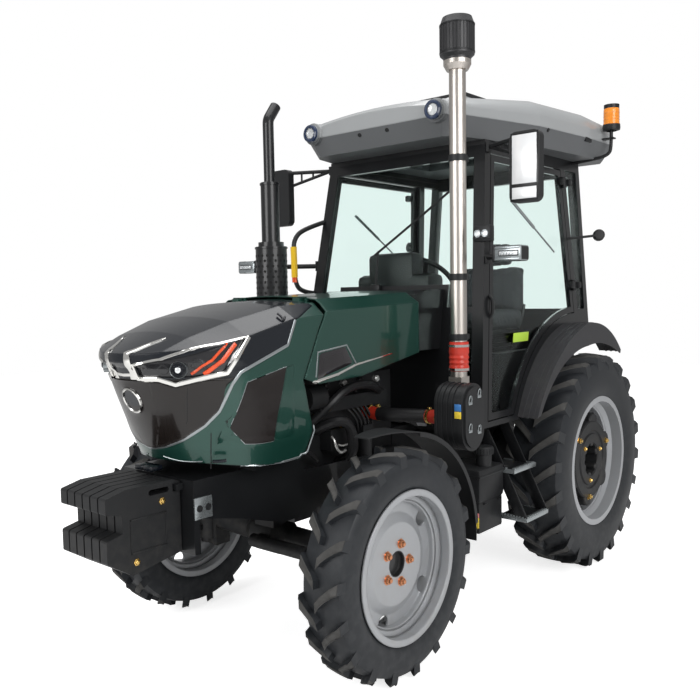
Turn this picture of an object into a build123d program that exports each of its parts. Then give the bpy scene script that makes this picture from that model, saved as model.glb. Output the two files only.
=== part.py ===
# Farm tractor with four driven wheels and a closed cab.
# Every size is in millimetres.  +X is the tractor's left, -Y its front and +Z is up.
# The shapes are drawn with Y measured from the rear axle.  save() then moves them along Y,
# so that the row's origin lies on the ground under the middle of the overall length.
import os
from math import cos, hypot, pi, radians, sin

from build123d import *

os.makedirs("parts", exist_ok=True)

# ---- Driving dimensions ----
wheelbase = 1900.0
front_overhang = 1050.0          # front axle to the noses of the front weights
hitch_reach = 930.0              # rear axle to the ends of the lower links
front_track = 1344.0
rear_track = 1318.0

seam = 0.3                       # running seat between two pieces
swing_gap = 6.0                  # clearance round whatever swings

front_wheel = dict(radius=497.0, tread=466.0, width=211.0, flange=327.0, seat=306.0, rim=203.0, well=272.0,
                   sides=18, lugs=18, lug_run=84.0, lug_width=34.0, disc_x=20.0, hub=52.0, hand_holes=5,
                   hand_hole=34.0)
rear_wheel = dict(radius=630.0, tread=594.0, width=315.0, flange=381.0, seat=357.0, rim=279.0, well=322.0,
                  sides=22, lugs=22, lug_run=120.0, lug_width=42.0, disc_x=-34.0, hub=75.0, hand_holes=6,
                  hand_hole=40.0)
rim_sheet = 8.0

kingpin_x = 505.0
kingpin_radius = 24.0
axle_beam_radius = 55.0
steer_arm = 160.0                # kingpin to the track rod's pins
steer_lock = 40.0                # degrees each way
knuckle_radius = 70.0
knuckle_low, knuckle_high = front_wheel["radius"] - 99.0, front_wheel["radius"] + 99.0
fork_ear = 26.0
rod_radius = 15.0

frame_half = 230.0               # outside of the front frame's side plates
frame_plate = 16.0
frame_top = 920.0

engine_half, engine_low, engine_high = 145.0, 560.0, 1240.0
engine_front, engine_rear = -wheelbase, -1180.0

hood_half = 370.0                # outside of the bonnet's sides
hood_skin = 5.0
hood_rear, hood_top = -wheelbase - 32.0, 1630.0
hood_swing = 50.0                # degrees
cowl_front, cowl_rear = hood_rear + 8.0, -1236.0

cab_front, cab_rear = -985.0, 300.0
cab_floor_z, cab_low, cab_high = 985.0, 950.0, 2425.0
side_at_1600, side_lean = 586.0, 0.075
post_lean = 0.159
post = 52.0                      # width of the cab's posts
door_sheet = 22.0
glass_sheet = 6.0
door_swing = 60.0
hinge_line_y, hinge_lean = 92.0, -0.074     # at 1600 above the ground, and per mm of height

roof_low, roof_mid, roof_high = cab_high + seam, 2520.0, 2700.0

fender_inner, fender_outer = 592.0, 750.0
fender_sheet = 8.0

link_pivot = (150.0, 420.0)      # y, z
link_length = 760.0
link_lift_at = 430.0             # along the link to the lift rod's pin
link_tilt = -2.0                 # degrees at rest
shaft_pivot = (70.0, 940.0)
link_x, lift_rod_x, lift_arm_x = 342.0, 306.0, 270.0

front_axle_y = -wheelbase
overall_length = wheelbase + front_overhang + hitch_reach
frame_shift = (wheelbase + front_overhang) - overall_length / 2


# ---- Drawing helpers ----
def save(shape, node):
    """Write one node, moved from the rear axle's frame into the row's frame."""
    export_step(Pos(0, frame_shift, 0) * shape, f"parts/{node}.step")


def block(x0, x1, y0, y1, z0, z1):
    """Rectangular solid between opposite corners."""
    return Pos((x0 + x1) / 2, (y0 + y1) / 2, (z0 + z1) / 2) * Box(x1 - x0, y1 - y0, z1 - z0)


def side_plate(outline, x0, x1):
    """Solid from x0 to x1 whose side view is an outline of (y, z) points."""
    face = make_face(Polyline(*[(x0, y, z) for y, z in outline], close=True))
    return extrude(face, x1 - x0, dir=(1, 0, 0))


def front_plate(outline, y0, y1):
    """Solid from y0 to y1 whose front view is an outline of (x, z) points."""
    face = make_face(Polyline(*[(x, y0, z) for x, z in outline], close=True))
    return extrude(face, y1 - y0, dir=(0, 1, 0))


def plan_plate(outline, z0, z1):
    """Solid from z0 to z1 whose plan is an outline of (x, y) points."""
    face = make_face(Polyline(*[(x, y, z0) for x, y in outline], close=True))
    return extrude(face, z1 - z0, dir=(0, 0, 1))


def rod(start, end, radius):
    """Round bar from start to end."""
    axis = Vector(*end) - Vector(*start)
    plane = Plane(origin=start, z_dir=axis)
    return plane * Cylinder(radius, axis.length, align=(Align.CENTER, Align.CENTER, Align.MIN))


def pipe(points, radius, bend):
    """Round pipe along straight runs joined by arcs of one bend radius."""
    path = FilletPolyline(*points, radius=bend)
    return sweep(Plane(origin=path @ 0, z_dir=path % 0) * Circle(radius), path=path)


def mirrored(shape):
    """The same piece for the tractor's right side."""
    return mirror(shape, Plane.YZ)


def pair(shape):
    """A piece and its copy on the other side."""
    return Compound(children=[shape, mirrored(shape)])


def group(*shapes):
    """Separate solids kept in one node."""
    return Compound(children=list(shapes))


def ahead(distance):
    """Y of a place that far in front of the front axle."""
    return front_axle_y - distance


def side_x(z):
    """Outside of the cab's side at a height."""
    return side_at_1600 - side_lean * (z - 1600.0)


def post_y(z):
    """Front of the cab's front posts at a height."""
    return -973.0 + post_lean * (z - 1600.0)


def hinge_y(z):
    """Line of the door's hinges at a height."""
    return hinge_line_y + hinge_lean * (z - 1600.0)


# ---- Wheels, drawn about the X axis ----
def ring(x, radius, sides):
    """Polygon across the wheel's axis."""
    plane = Plane(origin=(x, 0, 0), x_dir=(0, 1, 0), z_dir=(1, 0, 0))
    return plane * RegularPolygon(radius, sides)


tread_share, tread_drop = 0.88, 0.025      # tread's edge: share of half the width, and how much lower


def faceted(rows, sides, turn):
    """Solid with a regular polygon at each (x, radius) row and flat faces from row to row."""
    angles = [radians(turn + 360.0 * k / sides) for k in range(sides)]
    rings = [[(x, r * cos(angle), r * sin(angle)) for angle in angles] for x, r in rows]
    outlines = [rings[0], rings[-1]]
    for near, far in zip(rings, rings[1:]):
        outlines += [[near[k - 1], near[k], far[k], far[k - 1]] for k in range(sides)]
    return Solid(Shell([Face(Wire.make_polygon(outline)) for outline in outlines]))


def carcass(w):
    """Tyre without its lugs: each half has one flat face under each of its lugs."""
    half = w["width"] / 2
    bead = w["rim"] / 2 - rim_sheet - 12.0
    rows = [(0.0, w["tread"]), (tread_share * half, (1 - tread_drop) * w["tread"]),
            (half, 0.52 * w["seat"] + 0.48 * w["tread"]), (bead, w["seat"] + 1.5)]
    left = faceted(rows, w["sides"], 180.0 / w["sides"])
    right = faceted([(-x, r) for x, r in rows], w["sides"], 0.0)
    bore = extrude(ring(-half, (w["seat"] + 0.5) / cos(pi / w["sides"]), w["sides"]), 2 * half,
                   dir=(1, 0, 0))
    return left + right - bore


def lug(w, angle, side):
    """One tread bar, running back and outwards from the tyre's middle."""
    half = w["width"] / 2
    run, width = w["lug_run"], w["lug_width"]
    top = w["radius"] * cos(run / 2 / w["radius"]) - 1.0
    base = w["tread"] - 0.085 * w["tread"]
    plane = Plane(origin=(0, 0, 0), x_dir=(1, 0, 0), z_dir=(0, cos(radians(angle)), sin(radians(angle))))
    nose, tail, breadth = run / 2, -run / 2, width / 2
    start, knee, reach = 3.0, 30.0, tread_share * half - 3.0
    corners = [(side * start, nose + breadth), (side * knee, nose + breadth),
               (side * reach, tail + breadth),
               (side * reach, tail - breadth), (side * start, nose - breadth)]
    return extrude(plane * Pos(0, 0, top) * make_face(Polyline(*corners, close=True)), base - top)


def tyre(w):
    """Whole tyre: the lugs of the two sides stand half a pitch apart."""
    step = 360.0 / w["lugs"]
    bars = [lug(w, (k + (0.0 if side > 0 else 0.5)) * step, side) for k in range(w["lugs"]) for side in (1,
                                                                                                         -1)]
    return carcass(w).fuse(*bars)


def turned(points):
    """Solid of revolution about the wheel's axis from (x, radius) points."""
    return revolve(make_face(Polyline(*[(x, r, 0) for x, r in points], close=True)), Axis.X)


def rim(w):
    """Pressed rim with its disc."""
    half, t = w["rim"] / 2, rim_sheet
    seat, well = w["seat"], w["well"]
    barrel = turned([(-half, w["flange"]), (-half + t, w["flange"]), (-half + t, seat), (-0.6 * half, seat),
                     (-0.42 * half, well), (0.42 * half, well), (0.6 * half, seat), (half - t, seat),
                     (half - t, w["flange"]), (half, w["flange"]), (half, seat - t),
                     (0.55 * half, seat - t),
                     (0.36 * half, well - t), (-0.36 * half, well - t), (-0.55 * half, seat - t),
                     (-half, seat - t)])
    x, shelf = w["disc_x"], 20.0
    disc = turned([(x, w["hub"]), (x, 0.62 * well), (x - shelf, 0.8 * well), (x - shelf, well - t + 1),
                   (x - shelf + 11, well - t + 1),
                   (x - shelf + 11, 0.8 * well), (x + 10.0, 0.65 * well), (x + 10.0, w["hub"])])
    for k in range(w["hand_holes"]):
        turn = 2 * pi * (k + 0.5) / w["hand_holes"]
        y, z = 0.93 * well * cos(turn), 0.93 * well * sin(turn)
        disc -= rod((x - 2 * shelf, y, z), (x + shelf, y, z), w["hand_hole"])
    return barrel + disc


# ---- Tyres and rims ----
front_x, rear_x = front_track / 2, rear_track / 2
front_centre = Pos(front_x, front_axle_y, front_wheel["radius"])
rear_centre = Pos(rear_x, 0, rear_wheel["radius"])

front_tyre, rear_tyre = tyre(front_wheel), tyre(rear_wheel)
front_hub_x = front_x + front_wheel["disc_x"]
rear_hub_x = rear_x + rear_wheel["disc_x"]

front_hub = turned([(-34.0, 0.0), (-34.0, 98.0), (0.0, 98.0), (0.0, front_wheel["hub"]),
                    (-14.0, front_wheel["hub"]), (-14.0, 0.0)])
nut_circle, nut_count, nut_radius = 86.0, 5, 12.0
for k in range(nut_count):
    turn = 2 * pi * k / nut_count
    y, z = nut_circle * cos(turn), nut_circle * sin(turn)
    front_hub += rod((0, y, z), (22, y, z), nut_radius)
front_rim = rim(front_wheel) + Pos(front_wheel["disc_x"], 0, 0) * front_hub
weight_bore, weight_edge, weight_lobes, lobe_radius = 92.0, 236.0, 6, 62.0
weight_back, weight_face = 10.0, 58.0
weight = turned([(weight_back, weight_bore), (weight_back, weight_edge), (weight_face - 14, weight_edge),
                 (weight_face, weight_edge - 26), (weight_face, weight_bore + 24),
                 (weight_face - 16, weight_bore)])
for k in range(weight_lobes):
    turn = 2 * pi * k / weight_lobes
    y, z = (weight_edge - 30) * cos(turn), (weight_edge - 30) * sin(turn)
    weight += rod((weight_back, y, z), (weight_face - 8, y, z), lobe_radius)
    y, z = (weight_edge + 12) * cos(turn + pi / weight_lobes), (weight_edge + 12) * sin(turn
                                                                                        + pi / weight_lobes)
    weight -= rod((weight_back - 1, y, z), (weight_face + 1, y, z), 22.0)
rear_hub = turned([(-34.0, 0.0), (-34.0, 110.0), (0.0, 110.0), (0.0, rear_wheel["hub"]),
                   (22.0, rear_wheel["hub"]), (22.0, 0.0)])
rear_rim = rim(rear_wheel) + Pos(rear_wheel["disc_x"], 0, 0) * rear_hub + Pos(rear_wheel["disc_x"], 0,
                                                                              0) * weight

for node, shape, centre in (("tyre_front", front_tyre, front_centre),
                            ("rim_front", front_rim, front_centre),
                            ("tyre_rear", rear_tyre, rear_centre), ("rim_rear", rear_rim, rear_centre)):
    placed = centre * shape
    save(placed, node + "_left")
    save(mirrored(placed), node + "_right")

# ---- Front axle, knuckles, track rod and steering cylinder ----
axle_z = front_wheel["radius"]
fork_x = kingpin_x - knuckle_radius - swing_gap - 20.0
beam = turned([(-fork_x, 0), (-fork_x, 46), (-170, axle_beam_radius), (-110, 92), (30, 92),
               (90, axle_beam_radius), (fork_x, 46), (fork_x, 0)])
front_axle = Pos(0, front_axle_y, axle_z) * beam
fork_low, fork_high = knuckle_low - seam - fork_ear, knuckle_high + seam + fork_ear
web = block(fork_x - 6, fork_x + 18, front_axle_y - 45, front_axle_y + 45, fork_low, fork_high)
ears = Pos(kingpin_x, front_axle_y, 0) * (Pos(0, 0, fork_low + fork_ear / 2) * Cylinder(48, fork_ear)
                                          + Pos(0, 0, fork_high - fork_ear / 2) * Cylinder(48, fork_ear))
arms = block(fork_x, kingpin_x, front_axle_y - 40, front_axle_y + 40, fork_low, fork_low + fork_ear)
arms += block(fork_x, kingpin_x, front_axle_y - 40, front_axle_y + 40, fork_high - fork_ear, fork_high)
fork = web + ears + arms
pivot_top = 118.0
pivot = block(-62, 62, front_axle_y - 95, front_axle_y + 95, axle_z + 60, axle_z + pivot_top)
cylinder_y = front_axle_y - steer_arm * 0.885
cylinder_travel = steer_arm * sin(radians(steer_lock))
eye_radius, rod_eye_gap = 30.0, 8.0
barrel_end = kingpin_x - cylinder_travel - eye_radius - 40.0 - rod_eye_gap
barrel = rod((-30, cylinder_y, axle_z), (barrel_end, cylinder_y, axle_z), 31)
barrel_lug = block(-30, 30, cylinder_y + 10, front_axle_y - 60, axle_z - 20, axle_z + 20)
front_axle = front_axle + fork + mirrored(fork) + pivot + barrel + barrel_lug
cylinder_bore = rod((-20, cylinder_y, axle_z), (barrel_end + 2, cylinder_y, axle_z), 18.05)
front_axle = front_axle - cylinder_bore
save(front_axle, "front_axle")

steer_rod = rod((cylinder_travel - 14.0, cylinder_y, axle_z), (kingpin_x - 26, cylinder_y, axle_z), 18.0)
eye = Pos(kingpin_x, cylinder_y, axle_z) * Cylinder(eye_radius, 28)
eye += block(kingpin_x - 40, kingpin_x - 20, cylinder_y - 12, cylinder_y + 12, axle_z - 12, axle_z + 12)
save(steer_rod + eye, "steering_rod")

arm_low, arm_high = axle_z - 51.0, axle_z - 25.0
track_z = axle_z - 77.0


def knuckle():
    """Left knuckle: final-drive casing on the kingpin, hub seat and steering arms."""
    casing = rod((kingpin_x, front_axle_y, knuckle_low), (kingpin_x, front_axle_y, knuckle_high),
                 knuckle_radius)
    snout_end = front_hub_x - 34.0 - seam
    snout = rod((kingpin_x, front_axle_y, axle_z), (snout_end, front_axle_y, axle_z), 84)
    front_arm = side_plate([(front_axle_y, arm_low), (front_axle_y, arm_high), (cylinder_y - 24, arm_high),
                            (cylinder_y - 24, arm_low)],
                           kingpin_x - 22, kingpin_x + 22)
    rear_arm = block(kingpin_x - 20, kingpin_x + 20, front_axle_y, front_axle_y + steer_arm + 24,
                     track_z + 16, track_z + 40)
    pin = Pos(kingpin_x, front_axle_y + steer_arm, track_z + 2) * Cylinder(9, 60)
    return casing + snout + front_arm + rear_arm + pin


fender_radius = 566.0
fender_front_angle, fender_rear_angle, fender_lip = 103.0, -3.0, 16.0
bracket_x0, bracket_x1 = 546.0, 554.0


def front_fender():
    """Left mudguard over the steered wheel, on a bracket bolted to the knuckle."""
    inner, outer = front_x - 92.0, front_x + 92.0
    centre = (front_axle_y, axle_z)

    def at(radius, angle):
        return (outer, centre[0] + radius * cos(radians(angle)), centre[1] + radius * sin(radians(angle)))

    def band(far, near, depth):
        """Part of a ring over the tyre, that deep inwards from the outer edge."""
        middle = (fender_front_angle + fender_rear_angle) / 2
        outline = [ThreePointArc(at(far, fender_rear_angle), at(far, middle), at(far, fender_front_angle)),
                   Line(at(far, fender_front_angle), at(near, fender_front_angle)),
                   ThreePointArc(at(near, fender_front_angle), at(near, middle),
                                 at(near, fender_rear_angle)),
                   Line(at(near, fender_rear_angle), at(far, fender_rear_angle))]
        return extrude(make_face(outline), depth, dir=(-1, 0, 0))

    far, near = fender_radius, fender_radius - 5.0
    shell = band(far, near, outer - inner) + band(far, near - fender_lip, 4.0)
    swept = [(outer + 1, front_axle_y + 110), (outer + 1, front_axle_y - 200),
             (inner + 44, front_axle_y - 200)]
    shell -= plan_plate(swept, axle_z, axle_z + 700)
    shell -= plan_plate([(outer + 1, -1000), (outer + 1, front_axle_y + 420), (outer - 34, -1000)], 0,
                        axle_z + 60)
    arm_back = 80.0
    arm_top = axle_z + (near ** 2 - arm_back ** 2) ** 0.5 - seam
    leg = block(bracket_x0, bracket_x1, front_axle_y + 30, front_axle_y + arm_back, axle_z + 30, arm_top)
    arm = block(bracket_x0, inner + 40, front_axle_y + 30, front_axle_y + arm_back, arm_top - 8, arm_top)
    return shell, leg + arm


left_knuckle = knuckle()
left_fender, left_bracket = front_fender()
left_knuckle = left_knuckle + left_bracket
left_knuckle = left_knuckle - rod((kingpin_x, front_axle_y, knuckle_low - 1),
                                  (kingpin_x, front_axle_y, knuckle_low + 30), kingpin_radius)
left_knuckle = left_knuckle - rod((kingpin_x, front_axle_y, knuckle_high - 30),
                                  (kingpin_x, front_axle_y, knuckle_high + 1), kingpin_radius)
save(left_knuckle, "knuckle_left")
save(mirrored(left_knuckle), "knuckle_right")
save(left_fender, "front_fender_left")
save(mirrored(left_fender), "front_fender_right")

track_rod = rod((-kingpin_x, front_axle_y + steer_arm, track_z),
                (kingpin_x, front_axle_y + steer_arm, track_z), rod_radius)
for side in (1, -1):
    end = Pos(side * kingpin_x, front_axle_y + steer_arm, track_z)
    track_rod = track_rod + end * Cylinder(24, 28)
for side in (1, -1):
    end = Pos(side * kingpin_x, front_axle_y + steer_arm, track_z)
    track_rod = track_rod - end * Cylinder(9 + seam, 40)
save(track_rod, "track_rod")

# ---- Front frame, weight carrier and weights ----
carrier_front = -(wheelbase + front_overhang) + 350.0
frame_profile = [(carrier_front + 30, frame_top), (carrier_front + 30, 764), (ahead(456), 716),
                 (ahead(200), 640),
                 (ahead(60), 640), (ahead(0), 700), (engine_rear - 320, 700), (engine_rear - 320, 840),
                 (ahead(50), 850),
                 (ahead(110), frame_top)]
frame_side = side_plate(frame_profile, frame_half - frame_plate, frame_half)
carrier = block(-frame_half, frame_half, carrier_front, carrier_front + 30, 620, frame_top)
hook = block(-170, 170, carrier_front - 36, carrier_front, 880, 905)
cross = block(-frame_half + frame_plate, frame_half - frame_plate, front_axle_y - 110, front_axle_y + 110,
              axle_z + pivot_top + seam, axle_z + 203 - seam)
deck = block(-frame_half + frame_plate, frame_half - frame_plate, carrier_front + 30, ahead(120),
             frame_top - 20, frame_top)
save(frame_side + mirrored(frame_side) + carrier + hook + cross + deck, "front_frame")

weight_count, weight_pitch, weight_thick, weight_round = 6, 52.0, 44.0, 9.0
nose_y = -(wheelbase + front_overhang)
hook_y = carrier_front - 40
weight_outline = [(nose_y, 660), (nose_y, 745), (nose_y + 70, 760), (nose_y + 70, 832), (nose_y, 845),
                  (nose_y, 905), (nose_y + 90, 925), (hook_y, 925), (carrier_front - 4, 912),
                  (carrier_front - 4, 905 + seam), (hook_y, 905 + seam), (hook_y, 876),
                  (carrier_front - 4, 876),
                  (carrier_front - 4, 626), (nose_y + 110, 589)]
plates = []
for k in range(weight_count):
    middle = (k - (weight_count - 1) / 2) * weight_pitch
    plate = side_plate(weight_outline, middle - weight_thick / 2, middle + weight_thick / 2)
    nose_edges = [edge for edge in plate.edges().filter_by(Axis.X) if edge.center().Y < nose_y + 1]
    plate = fillet(nose_edges, weight_round)
    slot = block(middle - weight_thick, middle + weight_thick, hook_y - 105, hook_y - 30, 880, 902)
    for y in (hook_y - 105, hook_y - 30):
        slot += rod((middle - weight_thick, y, 891), (middle + weight_thick, y, 891), 11)
    plates.append(plate - slot)
save(group(*plates), "front_weights")

# ---- Engine, radiator and driveline ----
engine = block(-engine_half, engine_half, engine_front, engine_rear, 700, engine_high)
engine += block(-110, 110, engine_front + 200, engine_rear - 20, engine_low, 700)
cover = block(-95, 95, engine_front + 60, engine_rear - 90, engine_high, engine_high + 62)
engine += fillet(cover.edges().filter_by(Axis.Y), 24)
for z, radius in ((1020, 70), (1150, 50)):
    engine += rod((0, engine_front - 40, z), (0, engine_front, z), radius)
left_side, right_side = engine_half, -engine_half
engine += block(left_side, left_side + 62, engine_front + 90, engine_rear - 120, 1085, 1150)
engine += block(left_side, left_side + 70, engine_front + 150, engine_front + 320, 900, 1000)
engine += rod((left_side + 42, engine_rear - 270, 800), (left_side + 42, engine_rear - 270, 950), 40)
engine += block(left_side, left_side + 60, engine_rear - 310, engine_rear - 230, 940, 985)
engine += rod((left_side + 38, engine_rear - 210, 800), (left_side + 38, engine_rear - 20, 800), 45)
engine += rod((left_side + 48, engine_front - 10, 1165), (left_side + 48, engine_front + 100, 1165), 58)
engine += block(right_side - 56, right_side, engine_front + 110, engine_rear - 120, 1040, 1120)
engine += rod((right_side - 40, engine_front + 150, 905), (right_side - 40, engine_front + 330, 905), 42)
save(engine, "engine")
radiator = block(-300, 300, ahead(430), ahead(330), frame_top + seam, 1400)
radiator += block(-260, 260, ahead(330), ahead(280), frame_top + 40, 1380)
radiator += rod((0, ahead(282), 1150), (0, ahead(255), 1150), 215) - rod((0, ahead(283), 1150),
                                                                         (0, ahead(254), 1150), 195)
save(radiator, "radiator")

bell = side_plate([(engine_rear, 600), (engine_rear, 925), (-1000, 925), (-880, 860), (-800, 800),
                   (-300, 800), (-180, 850), (180, 850), (180, 400), (-300, 400), (-930, 430),
                   (-1050, 600)], -150, 150)
trumpet_end = rear_hub_x - 34.0 - seam
trumpet = turned([(-trumpet_end, 0), (-trumpet_end, 118), (-trumpet_end + 26, 118), (-trumpet_end + 26, 80),
                  (-260, 92), (-200, 150), (200, 150), (260, 92),
                  (trumpet_end - 26, 80), (trumpet_end - 26, 118), (trumpet_end, 118), (trumpet_end, 0)])
lift_case = block(-140, 140, -80, 160, 850, 1000)
shaft_case = rod((-215, shaft_pivot[0], shaft_pivot[1]), (215, shaft_pivot[0], shaft_pivot[1]), 55)
pto_y, pto_z = 180.0, 600.0
transmission = bell + Pos(0, 0, rear_wheel["radius"]) * trumpet + lift_case + shaft_case
transmission += block(14, 26, 150, 440, 860, 940) + block(-26, -14, 150, 440, 860, 940)
transmission += block(12, 288, 130, 170, 400, 440) + block(-288, -12, 130, 170, 400, 440)
transmission -= rod((0, pto_y - 30, pto_z), (0, pto_y + 1, pto_z), 30)
transmission += rod((280, 150, 420), (link_x + 9, 150, 420), 12) + rod((-link_x - 9, 150, 420),
                                                                       (-280, 150, 420), 12)
transmission += rod((-26, 415, 900), (26, 415, 900), 9.5)
guard = block(-110, 110, 180, 330, 690, 696) + block(104, 110, 180, 300, 560, 696) + block(-110, -104, 180,
                                                                                           300, 560, 696)
transmission += guard
shaft_bore = rod((-216, shaft_pivot[0], shaft_pivot[1]), (216, shaft_pivot[0], shaft_pivot[1]), 30.3)
transmission -= shaft_bore
for y in (-1160.0, -1010.0):
    transmission += block(140, 420 - seam, y, y + 30, 640, 700) + block(-420 + seam, -140, y, y + 30, 640,
                                                                        700)
for side in (1, -1):
    x0, x1 = sorted((side * 140.0, side * 330.0))
    transmission += block(x0, x1, -960, -900, 850, 880) + block(side * 300 - 30, side * 300 + 30, -960,
                                                                -900, 880, cab_low + 8 - seam)
    transmission += block(side * 330 - 25, side * 330 + 25, -100, -50, 660, 1180 - seam)
save(transmission, "transmission")
save(rod((0, pto_y - 29.7, pto_z), (0, pto_y + 1, pto_z), 16.0) + rod((0, pto_y + 1, pto_z),
                                                                      (0, pto_y + 90, pto_z), 17.46),
     "pto_shaft")

drawbar_low, drawbar_high = 352.0, 378.0
drawbar = block(-32, 32, 0, 560, drawbar_low, drawbar_high) + block(-60, 60, 0, 30, drawbar_high,
                                                                    400 - seam)
drawbar += block(-60, 60, 60, 120, drawbar_high, 400 - seam)
drawbar -= rod((0, 520, 300), (0, 520, 420), 16)
save(drawbar, "drawbar")

# ---- Three-point hitch ----
tilt = radians(link_tilt)


def along(start, distance, angle=tilt):
    """Point at a distance along a link in side view."""
    return (start[0] + distance * cos(angle), start[1] + distance * sin(angle))


def bar(x, thick, start, end, height):
    """Flat bar in side view between two (y, z) pins with round ends."""
    length = hypot(end[0] - start[0], end[1] - start[1])
    ux, uz = (end[0] - start[0]) / length, (end[1] - start[1]) / length
    nx, nz = -uz * height / 2, ux * height / 2
    flat = side_plate([(start[0] + nx, start[1] + nz), (end[0] + nx, end[1] + nz),
                       (end[0] - nx, end[1] - nz), (start[0] - nx, start[1] - nz)],
                      x - thick / 2, x + thick / 2)
    for y, z in (start, end):
        flat += rod((x - thick / 2, y, z), (x + thick / 2, y, z), height / 2)
    return flat


def across(x0, x1, place, radius):
    """Pin or bore along X at a (y, z) place."""
    return rod((x0, place[0], place[1]), (x1, place[0], place[1]), radius)


link_ball = along(link_pivot, link_length)
link_pin = along(link_pivot, link_lift_at)
arm_pin = along(shaft_pivot, link_lift_at)
ball_radius, ball_bore, pin_radius = 26.0, 11.2, 11.0
link = bar(link_x, 16, link_pivot, link_ball, 46)
link += across(link_x - 22, link_x + 22, link_ball, ball_radius)
link -= across(link_x - 40, link_x + 40, link_ball, ball_bore)
link += across(lift_rod_x - 9, link_x, link_pin, pin_radius)
link -= across(link_x - 40, link_x + 40, link_pivot, 12.3)
save(pair(link), "lower_links")

lift = bar(lift_arm_x, 22, shaft_pivot, arm_pin, 50)
lift += across(lift_arm_x, lift_rod_x + 9, arm_pin, pin_radius)
save(lift + mirrored(lift) + across(-lift_arm_x, lift_arm_x, shaft_pivot, 30), "lift_arms")

lift_rod = bar(lift_rod_x, 16, link_pin, arm_pin, 40)
lift_rod -= across(lift_rod_x - 20, lift_rod_x + 20, link_pin, pin_radius + seam)
lift_rod -= across(lift_rod_x - 20, lift_rod_x + 20, arm_pin, pin_radius + seam)
save(pair(lift_rod), "lift_rods")

top_pin = (415.0, 900.0)
top_length = 430.0
top_end = (top_pin[0], top_pin[1] + top_length)
top_link = bar(0, 20, top_pin, top_end, 40)
top_link -= across(-20, 20, top_pin, 9.8)
top_link -= across(-20, 20, top_end, 9.65)
save(top_link, "top_link")


# ---- Bonnet, nose, grille and headlamps ----
nose_levels = [  # height, half width, front of the nose ahead of the front axle
    (925.0, 0.94 * hood_half, 672.0), (1035.0, 0.97 * hood_half, 722.0), (1240.0, hood_half, 802.0),
    (1368.0, hood_half, 850.0), (1392.0, hood_half, 876.0), (1760.0, hood_half, 880.0)]
brow_x, brow_drop, flank_x, flank_drop, corner_drop = 0.70, 110.0, 0.905, 200.0, 330.0


def nose_plan(level, inset):
    """Plan of the bonnet at a height: straight sides, and a nose of three arcs."""
    z, half, front = level
    half, front = half - inset, front - inset
    brow, flank = (brow_x * half, ahead(front - brow_drop)), (flank_x * half, ahead(front - flank_drop))
    corner, tail = (half, ahead(front - corner_drop)), (half, hood_rear + 200.0)
    edges = [Line(tail, corner), ThreePointArc(corner, flank, brow),
             ThreePointArc(brow, (0, ahead(front)), (-brow[0], brow[1])),
             ThreePointArc((-brow[0], brow[1]), (-flank[0], flank[1]), (-corner[0], corner[1])),
             Line((-corner[0], corner[1]), (-tail[0], tail[1])), Line((-tail[0], tail[1]), tail)]
    return Pos(0, 0, z) * make_face(edges)


crown_rows = [  # ahead of the front axle, crown's middle, crease's half width, crease height, side's top
    (-200.0, hood_top + 4, 288.0, hood_top - 14, hood_top - 66), (250.0, 1613.0, 280.0, 1595.0, 1544.0),
    (520.0, 1560.0, 262.0, 1540.0, 1482.0), (700.0, 1505.0, 228.0, 1484.0, 1430.0),
    (900.0, 1418.0, 190.0, 1398.0, 1350.0)]


def crown_section(row, inset):
    """Section across the bonnet: flat foot, sides, slopes and a crown arc."""
    distance, crown, crease_x, crease_z, side_top = row
    crown, crease_z, side_top, wide = crown - inset, crease_z - inset, side_top - inset, hood_half + 30.0
    drop = (crease_z - side_top) * (wide - hood_half) / (hood_half - crease_x)
    corners = [(-crease_x, crease_z), (-wide, side_top - drop), (-wide, 900.0), (wide, 900.0),
               (wide, side_top - drop), (crease_x, crease_z)]
    y = ahead(distance)
    points = [(x, y, z) for x, z in corners]
    edges = [Line(p, q) for p, q in zip(points, points[1:])]
    return make_face(edges + [ThreePointArc(points[-1], (0, y, crown), points[0])])


def hood_form(inset):
    """The closed outer form of bonnet and nose, or the form inside its skin."""
    plan = loft([nose_plan(level, inset) for level in nose_levels], ruled=True)
    crown = loft([crown_section(row, inset) for row in crown_rows], ruled=True)
    return plan & crown


hood_shell = hood_form(0.0) - hood_form(hood_skin)
hood_side = [(hood_rear, 1700), (hood_rear, 1603), (ahead(98), 1489), (ahead(200), 1282),
             (ahead(134), 1056),
             (ahead(178), 968), (ahead(210), 942), (ahead(440), 949), (ahead(620), 975), (ahead(950), 1010),
             (ahead(950), 1700)]
hood_shell = hood_shell & side_plate(hood_side, -500, 500)
dark_side = [(ahead(60), 1720), (ahead(60), 1592), (ahead(242), 1537), (ahead(294), 1427),
             (ahead(560), 1336),
             (ahead(604), 1300), (ahead(668), 1190), (ahead(690), 1120), (ahead(715), 1033),
             (ahead(950), 1033), (ahead(950), 1720)]
lamp_side = [(ahead(870), 1386), (ahead(730), 1424), (ahead(640), 1452), (ahead(520), 1478),
             (ahead(604), 1388),
             (ahead(622), 1348), (ahead(740), 1334), (ahead(835), 1336)]
mesh_side = [(ahead(254), 1350), (ahead(430), 1318), (ahead(592), 1150), (ahead(556), 1080),
             (ahead(350), 1052), (ahead(276), 1120)]
split_z, lamp_inner = 1326.0, 84.0
dark_region = side_plate(dark_side, -500, 500)
outline_face = make_face(Polyline(*[(-500, y, z) for y, z in dark_side], close=True))
dark_inner = extrude(offset(outline_face, -seam), 1000, dir=(1, 0, 0))
above, below = block(-500, 500, ahead(1000), 0, split_z, 1800), block(-500, 500, ahead(1000), 0, 800,
                                                                      split_z - seam)
lamp_face = make_face(Polyline(*[(lamp_inner, y, z) for y, z in lamp_side], close=True))
lamp_hole = extrude(lamp_face, 400, dir=(1, 0, 0))
mesh_face = make_face(Polyline(*[(-500, y, z) for y, z in mesh_side], close=True))
mesh_hole = extrude(mesh_face, 1000, dir=(1, 0, 0))

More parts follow.
